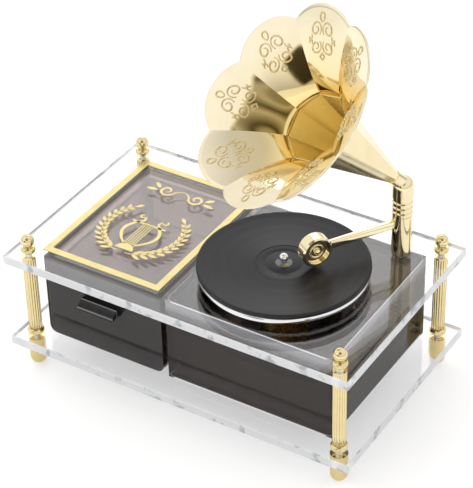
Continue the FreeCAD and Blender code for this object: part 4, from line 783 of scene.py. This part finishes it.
FOIL_LOW, FOIL_HIGH = UPPER_TOP + 0.01 * MM, UPPER_TOP + 0.16 * MM
LYRE_FORWARD, FLOURISH_BACK = 24, 27
STRINGS, STRING_GAP = 5, 1.35
SPRAY_RADIUS, SPRAY_RISE, SPRAY_LOW, SPRAY_SWEEP, SPRAY_STEPS = 20.5, 17, -84, 128, 24
LEAF_STEPS, LEAF_LEAN = 16, 0.62


def slab(outline):
    """A flat closed outline as a thin slab."""
    count = len(outline)
    points = [Vector((x * MM, y * MM, level)) for level in (FOIL_LOW, FOIL_HIGH) for x, y in outline]
    faces = [tuple(reversed(range(count))), tuple(range(count, 2 * count))]
    for i in range(count):
        j = (i + 1) % count
        faces.append((i, j, j + count, i + count))
    return points, faces


def stroke(path, width, taper=0.3):
    """A flat line along a path, whose ends are narrower by a taper."""
    left, right = [], []
    count = len(path)
    for i, (x, y) in enumerate(path):
        x0, y0 = path[max(i - 1, 0)]
        x1, y1 = path[min(i + 1, count - 1)]
        length = math.hypot(x1 - x0, y1 - y0)
        nx, ny = -(y1 - y0) / length, (x1 - x0) / length
        half = width / 2 * (taper + (1 - taper) * math.sin(math.pi * i / (count - 1)))
        left.append((x + nx * half, y + ny * half))
        right.append((x - nx * half, y - ny * half))
    points, faces = [], []
    for level in (FOIL_LOW, FOIL_HIGH):
        for side in (left, right):
            points += [Vector((x * MM, y * MM, level)) for x, y in side]
    for i in range(count - 1):
        faces.append((2 * count + i, 3 * count + i, 3 * count + i + 1, 2 * count + i + 1))
        faces.append((i, i + 1, count + i + 1, count + i))
        faces.append((i, 2 * count + i, 2 * count + i + 1, i + 1))
        faces.append((count + i, count + i + 1, 3 * count + i + 1, 3 * count + i))
    faces.append((0, count, 3 * count, 2 * count))
    faces.append((count - 1, 3 * count - 1, 4 * count - 1, 2 * count - 1))
    return points, faces


def leaf(x, y, angle, length, width):
    """A pointed leaf from a point, at an angle."""
    outline = []
    for side, steps in ((1, range(LEAF_STEPS + 1)), (-1, range(LEAF_STEPS - 1, 0, -1))):
        for k in steps:
            share = k / LEAF_STEPS
            outline.append((length * share, side * width / 2 * math.sin(math.pi * share) ** 0.8))
    c, s = math.cos(angle), math.sin(angle)
    return slab([(x + c * a - s * b, y + s * a + c * b) for a, b in outline])


def lyre_side(middle_x, base_y, hand):
    """One arm of the lyre, with the curl at its end."""
    arm = []
    for k in range(31):
        share = k / 30
        bow = 7.2 * math.sin(math.pi * min(1, share * 1.15)) ** 0.9
        arm.append((middle_x + hand * (2.2 + bow + 2.6 * share ** 3), base_y + 3 + 24 * share))
    end_x, end_y = arm[-1]
    curl = scroll((end_x + hand * 1.9, end_y), math.pi if hand > 0 else 0, 0.8, 0.5, 1.9, -hand, 16)
    return [stroke(arm, 1.8, 0.55), stroke(curl, 1.1, 0.5)]


def laurel(middle_x, base_y, hand):
    """One spray: a bent twig with leaves in pairs and a single leaf at its tip."""
    twig = []
    for k in range(SPRAY_STEPS + 1):
        turn = math.radians(SPRAY_LOW + SPRAY_SWEEP * k / SPRAY_STEPS)
        twig.append((middle_x + hand * SPRAY_RADIUS * math.cos(turn),
                     base_y + SPRAY_RISE + SPRAY_RADIUS * math.sin(turn)))
    parts = [stroke(twig, 0.9, 0.4)]
    for k in range(2, SPRAY_STEPS, 2):
        x, y = twig[k]
        x0, y0 = twig[k - 1]
        along = math.atan2(y - y0, x - x0)
        parts += [leaf(x, y, along + lean, 6.2 - 0.1 * k, 1.8) for lean in (LEAF_LEAN, -LEAF_LEAN)]
    parts.append(leaf(*twig[-1], math.radians(134 if hand > 0 else 46), 5.0, 2.0))
    return parts


def flourish(middle_x, y, hand):
    """Half of the scroll flourish, with two leaves at its outer end."""
    x = middle_x + hand * 8.5
    swirl = scroll((x, y), math.pi if hand > 0 else 0, 1.25, 0.7, 4.2, -hand, 30)
    end_x, end_y = swirl[-1]
    tail = [(end_x - hand * 4.3 * k / 6, end_y + 2.6 * math.sin(math.pi * k / 12)) for k in range(1, 7)]
    return [
        stroke(swirl + tail, 1.3, 0.35),
        leaf(x + hand * 4.6, y + 0.6, math.radians(40 if hand > 0 else 140), 5.5, 2.2),
        leaf(x + hand * 4.8, y - 1.4, math.radians(-8 if hand > 0 else 188), 6.5, 2.2),
    ]


def build_motif():
    low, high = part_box("gilt_frame")
    middle_x, middle_y = (low.x + high.x) / 2 / MM, (low.y + high.y) / 2 / MM
    base_y = middle_y - LYRE_FORWARD
    parts = []
    for hand in (-1, 1):
        parts += lyre_side(middle_x, base_y, hand) + laurel(middle_x, base_y, hand)
    crossbar = [(middle_x - 9.5 + 19 * k / 12, base_y + 21.5) for k in range(13)]
    foot = [(-5.2, -1), (5.2, -1), (4.2, 1.4), (2.6, 4), (-2.6, 4), (-4.2, 1.4)]
    parts.append(stroke(crossbar, 1.5, 0.8))
    parts.append(slab([(middle_x + x, base_y + y) for x, y in foot]))
    for k in range(STRINGS):
        x = middle_x + (k - STRINGS // 2) * STRING_GAP
        parts.append(stroke([(x, base_y + 3.6 + 18 * j / 8) for j in range(9)], 0.55, 1.0))
    for hand in (-1, 1):
        parts += flourish(middle_x, middle_y + FLOURISH_BACK, hand)
    mesh = mesh_from("gilt_lyre_motif", *joined(parts), smooth=False)
    new_piece("gilt_lyre_motif", mesh, FOIL, "stand")


build_motif()


# The stage: a white floor that keeps the shadow, and counts as a plain pale one for the light it returns.

FLOOR_HALF, FLOOR_SHADED, FLOOR_GLOW, FLOOR_PLAIN = 3, (0.6, 0.6, 0.605, 1), 0.5, (0.8, 0.8, 0.8, 1)
WHITE = (1, 1, 1, 1)


def white_floor():
    made, tree, _ = material("stage_floor")
    path = node(tree, "ShaderNodeLightPath")
    seen = math_node(tree, "MAXIMUM", path.outputs["Is Camera Ray"], path.outputs["Is Glossy Ray"])
    seen = math_node(tree, "MAXIMUM", seen, path.outputs["Is Transmission Ray"])
    shaded = node(tree, "ShaderNodeBsdfDiffuse", {"Color": FLOOR_SHADED})
    glow = node(tree, "ShaderNodeEmission", {"Color": WHITE, "Strength": FLOOR_GLOW})
    bright = node(tree, "ShaderNodeAddShader", {0: shaded.outputs[0], 1: glow.outputs[0]})
    plain = node(tree, "ShaderNodeBsdfDiffuse", {"Color": FLOOR_PLAIN})
    mix_shaders(tree, seen, plain, bright, "Material Output")
    return made


floor_mesh = bpy.data.meshes.new("stage_floor")
floor_corners = [(x * FLOOR_HALF, y * FLOOR_HALF, 0) for x, y in ((-1, -1), (1, -1), (1, 1), (-1, 1))]
floor_mesh.from_pydata(floor_corners, [], [(0, 1, 2, 3)])
floor_mesh.materials.append(white_floor())
floor = bpy.data.objects.new("stage_floor", floor_mesh)
bpy.context.scene.collection.objects.link(floor)


# The studio is white, with the warm dark of the camera side and of a light stand, which polished metal shows.

STREAKS = ((0.04, 0.72), (0.14, 0.50), (0.33, 0.93), (0.50, 0.48), (0.63, 0.66), (0.85, 0.94), (0.96, 0.62))
WARM_DARK, STAND_DARK = (1.0, 0.82, 0.32), 0.95
HORIZON_DIM, HORIZON_TOP, VAULT_DIM, KEY_BRIGHT = 0.55, 0.25, 0.68, 1.1


def build_studio():
    world = bpy.data.worlds.new("studio")
    bpy.context.scene.world = world
    world.use_nodes = True
    tree = world.node_tree
    direction = node(tree, "ShaderNodeTexCoord").outputs["Generated"]

    def lobe(azimuth, elevation, start, end):
        """How far a direction lies towards an axis in degrees: 0 at the first cosine, 1 at the second."""
        near = vector_node(tree, "DOT_PRODUCT", direction, heading(azimuth, elevation), "Value")
        return spread(tree, near, 0.0, 1.0, start, end)

    across = lobe(-86.7, -30.8, -0.10, 0.14)
    streaks = ramp(tree, across, [(at, (dark, dark, dark)) for at, dark in STREAKS])
    camera_side = math_node(tree, "MULTIPLY", lobe(-62, 53, 0.915, 0.935), streaks)
    stand = math_node(tree, "MULTIPLY", lobe(-97, 12, 0.966, 0.976), lobe(1.4, 54.1, -0.01, 0.015))
    dark = math_node(tree, "MAXIMUM", camera_side, math_node(tree, "MULTIPLY", stand, STAND_DARK))
    height = axis_part(tree, direction, "Z")
    below = math_node(tree, "LESS_THAN", height, 0.0)
    horizon = math_node(tree, "MAXIMUM", spread(tree, height, HORIZON_DIM, 1.0, 0.0, HORIZON_TOP), below)
    vault = spread(tree, lobe(135, 63, 0.93, 0.99), 1.0, VAULT_DIM)
    key = spread(tree, lobe(-128, 38, 0.707, 0.966), 1.0, KEY_BRIGHT)
    level = math_node(tree, "SUBTRACT", 1.0, dark)
    for share in (horizon, vault, key):
        level = math_node(tree, "MULTIPLY", level, share)
    shade = ramp(tree, dark, [(0.0, (1.0, 1.0, 1.0)), (1.0, WARM_DARK)])
    studio = node(tree, "ShaderNodeBackground", {"Color": shade, "Strength": level})
    backdrop = node(tree, "ShaderNodeBackground", {"Color": WHITE, "Strength": 1.0})
    seen = node(tree, "ShaderNodeLightPath").outputs["Is Camera Ray"]
    mix_shaders(tree, seen, studio, backdrop, "World Output")


build_studio()


def softbox(name, place_at, aim, width, height, radiance, glossy):
    """A rectangular lamp that faces a point, in metres, seen or not seen in polished surfaces."""
    lamp = bpy.data.lights.new(name, "AREA")
    lamp.shape = "RECTANGLE"
    lamp.size, lamp.size_y = width, height
    lamp.energy = radiance * math.pi * width * height
    holder = bpy.data.objects.new(name, lamp)
    holder.location = place_at
    holder.rotation_euler = (Vector(aim) - Vector(place_at)).to_track_quat("-Z", "Y").to_euler()
    holder.visible_camera = False
    holder.visible_glossy = glossy
    bpy.context.scene.collection.objects.link(holder)


softbox("softbox_back", (-0.75, 1.18, 1.05), (0, 0, 0.06), 1.1, 0.7, radiance=0.85, glossy=True)
softbox("softbox_top", (-0.45, -0.1, 1.4), (0, 0, 0), 0.9, 0.9, radiance=1.3, glossy=False)
softbox("softbox_front", (0.35, -1.3, 0.6), (0, 0, 0.05), 1.4, 0.8, radiance=1.0, glossy=False)

bpy.context.scene.view_settings.view_transform = "Standard"


# The camera stands where the photograph's did, as fitted to the two plates.

CAM_AZIMUTH, CAM_ELEVATION, CAM_ROLL = math.radians(32.56), math.radians(35.93), math.radians(-1.52)
CAM_AIM, CAM_DISTANCE = Vector((-24.48, 40.68, 37.5)) * MM, 1014.57 * MM
PHOTO_HEIGHT, FOCAL_PIXELS, SENSOR = 488, 1996.61, 36.0

back = Vector((
    math.sin(CAM_AZIMUTH) * math.cos(CAM_ELEVATION),
    -math.cos(CAM_AZIMUTH) * math.cos(CAM_ELEVATION),
    math.sin(CAM_ELEVATION),
))
right = Vector((math.cos(CAM_AZIMUTH), math.sin(CAM_AZIMUTH), 0))
up = back.cross(right)
cam_right = right * math.cos(CAM_ROLL) + up * math.sin(CAM_ROLL)
cam_up = up * math.cos(CAM_ROLL) - right * math.sin(CAM_ROLL)
eye = CAM_AIM + back * CAM_DISTANCE
lens = bpy.data.cameras.new("photo_camera")
lens.sensor_fit = "VERTICAL"
lens.sensor_width = lens.sensor_height = SENSOR
lens.lens = FOCAL_PIXELS * SENSOR / PHOTO_HEIGHT
lens.clip_start, lens.clip_end = 0.01, 20
camera = bpy.data.objects.new("photo_camera", lens)
camera.matrix_world = Matrix((
    (cam_right.x, cam_up.x, back.x, eye.x),
    (cam_right.y, cam_up.y, back.y, eye.y),
    (cam_right.z, cam_up.z, back.z, eye.z),
    (0, 0, 0, 1),
))
bpy.context.scene.collection.objects.link(camera)
bpy.context.scene.camera = camera

bpy.context.view_layer.update()
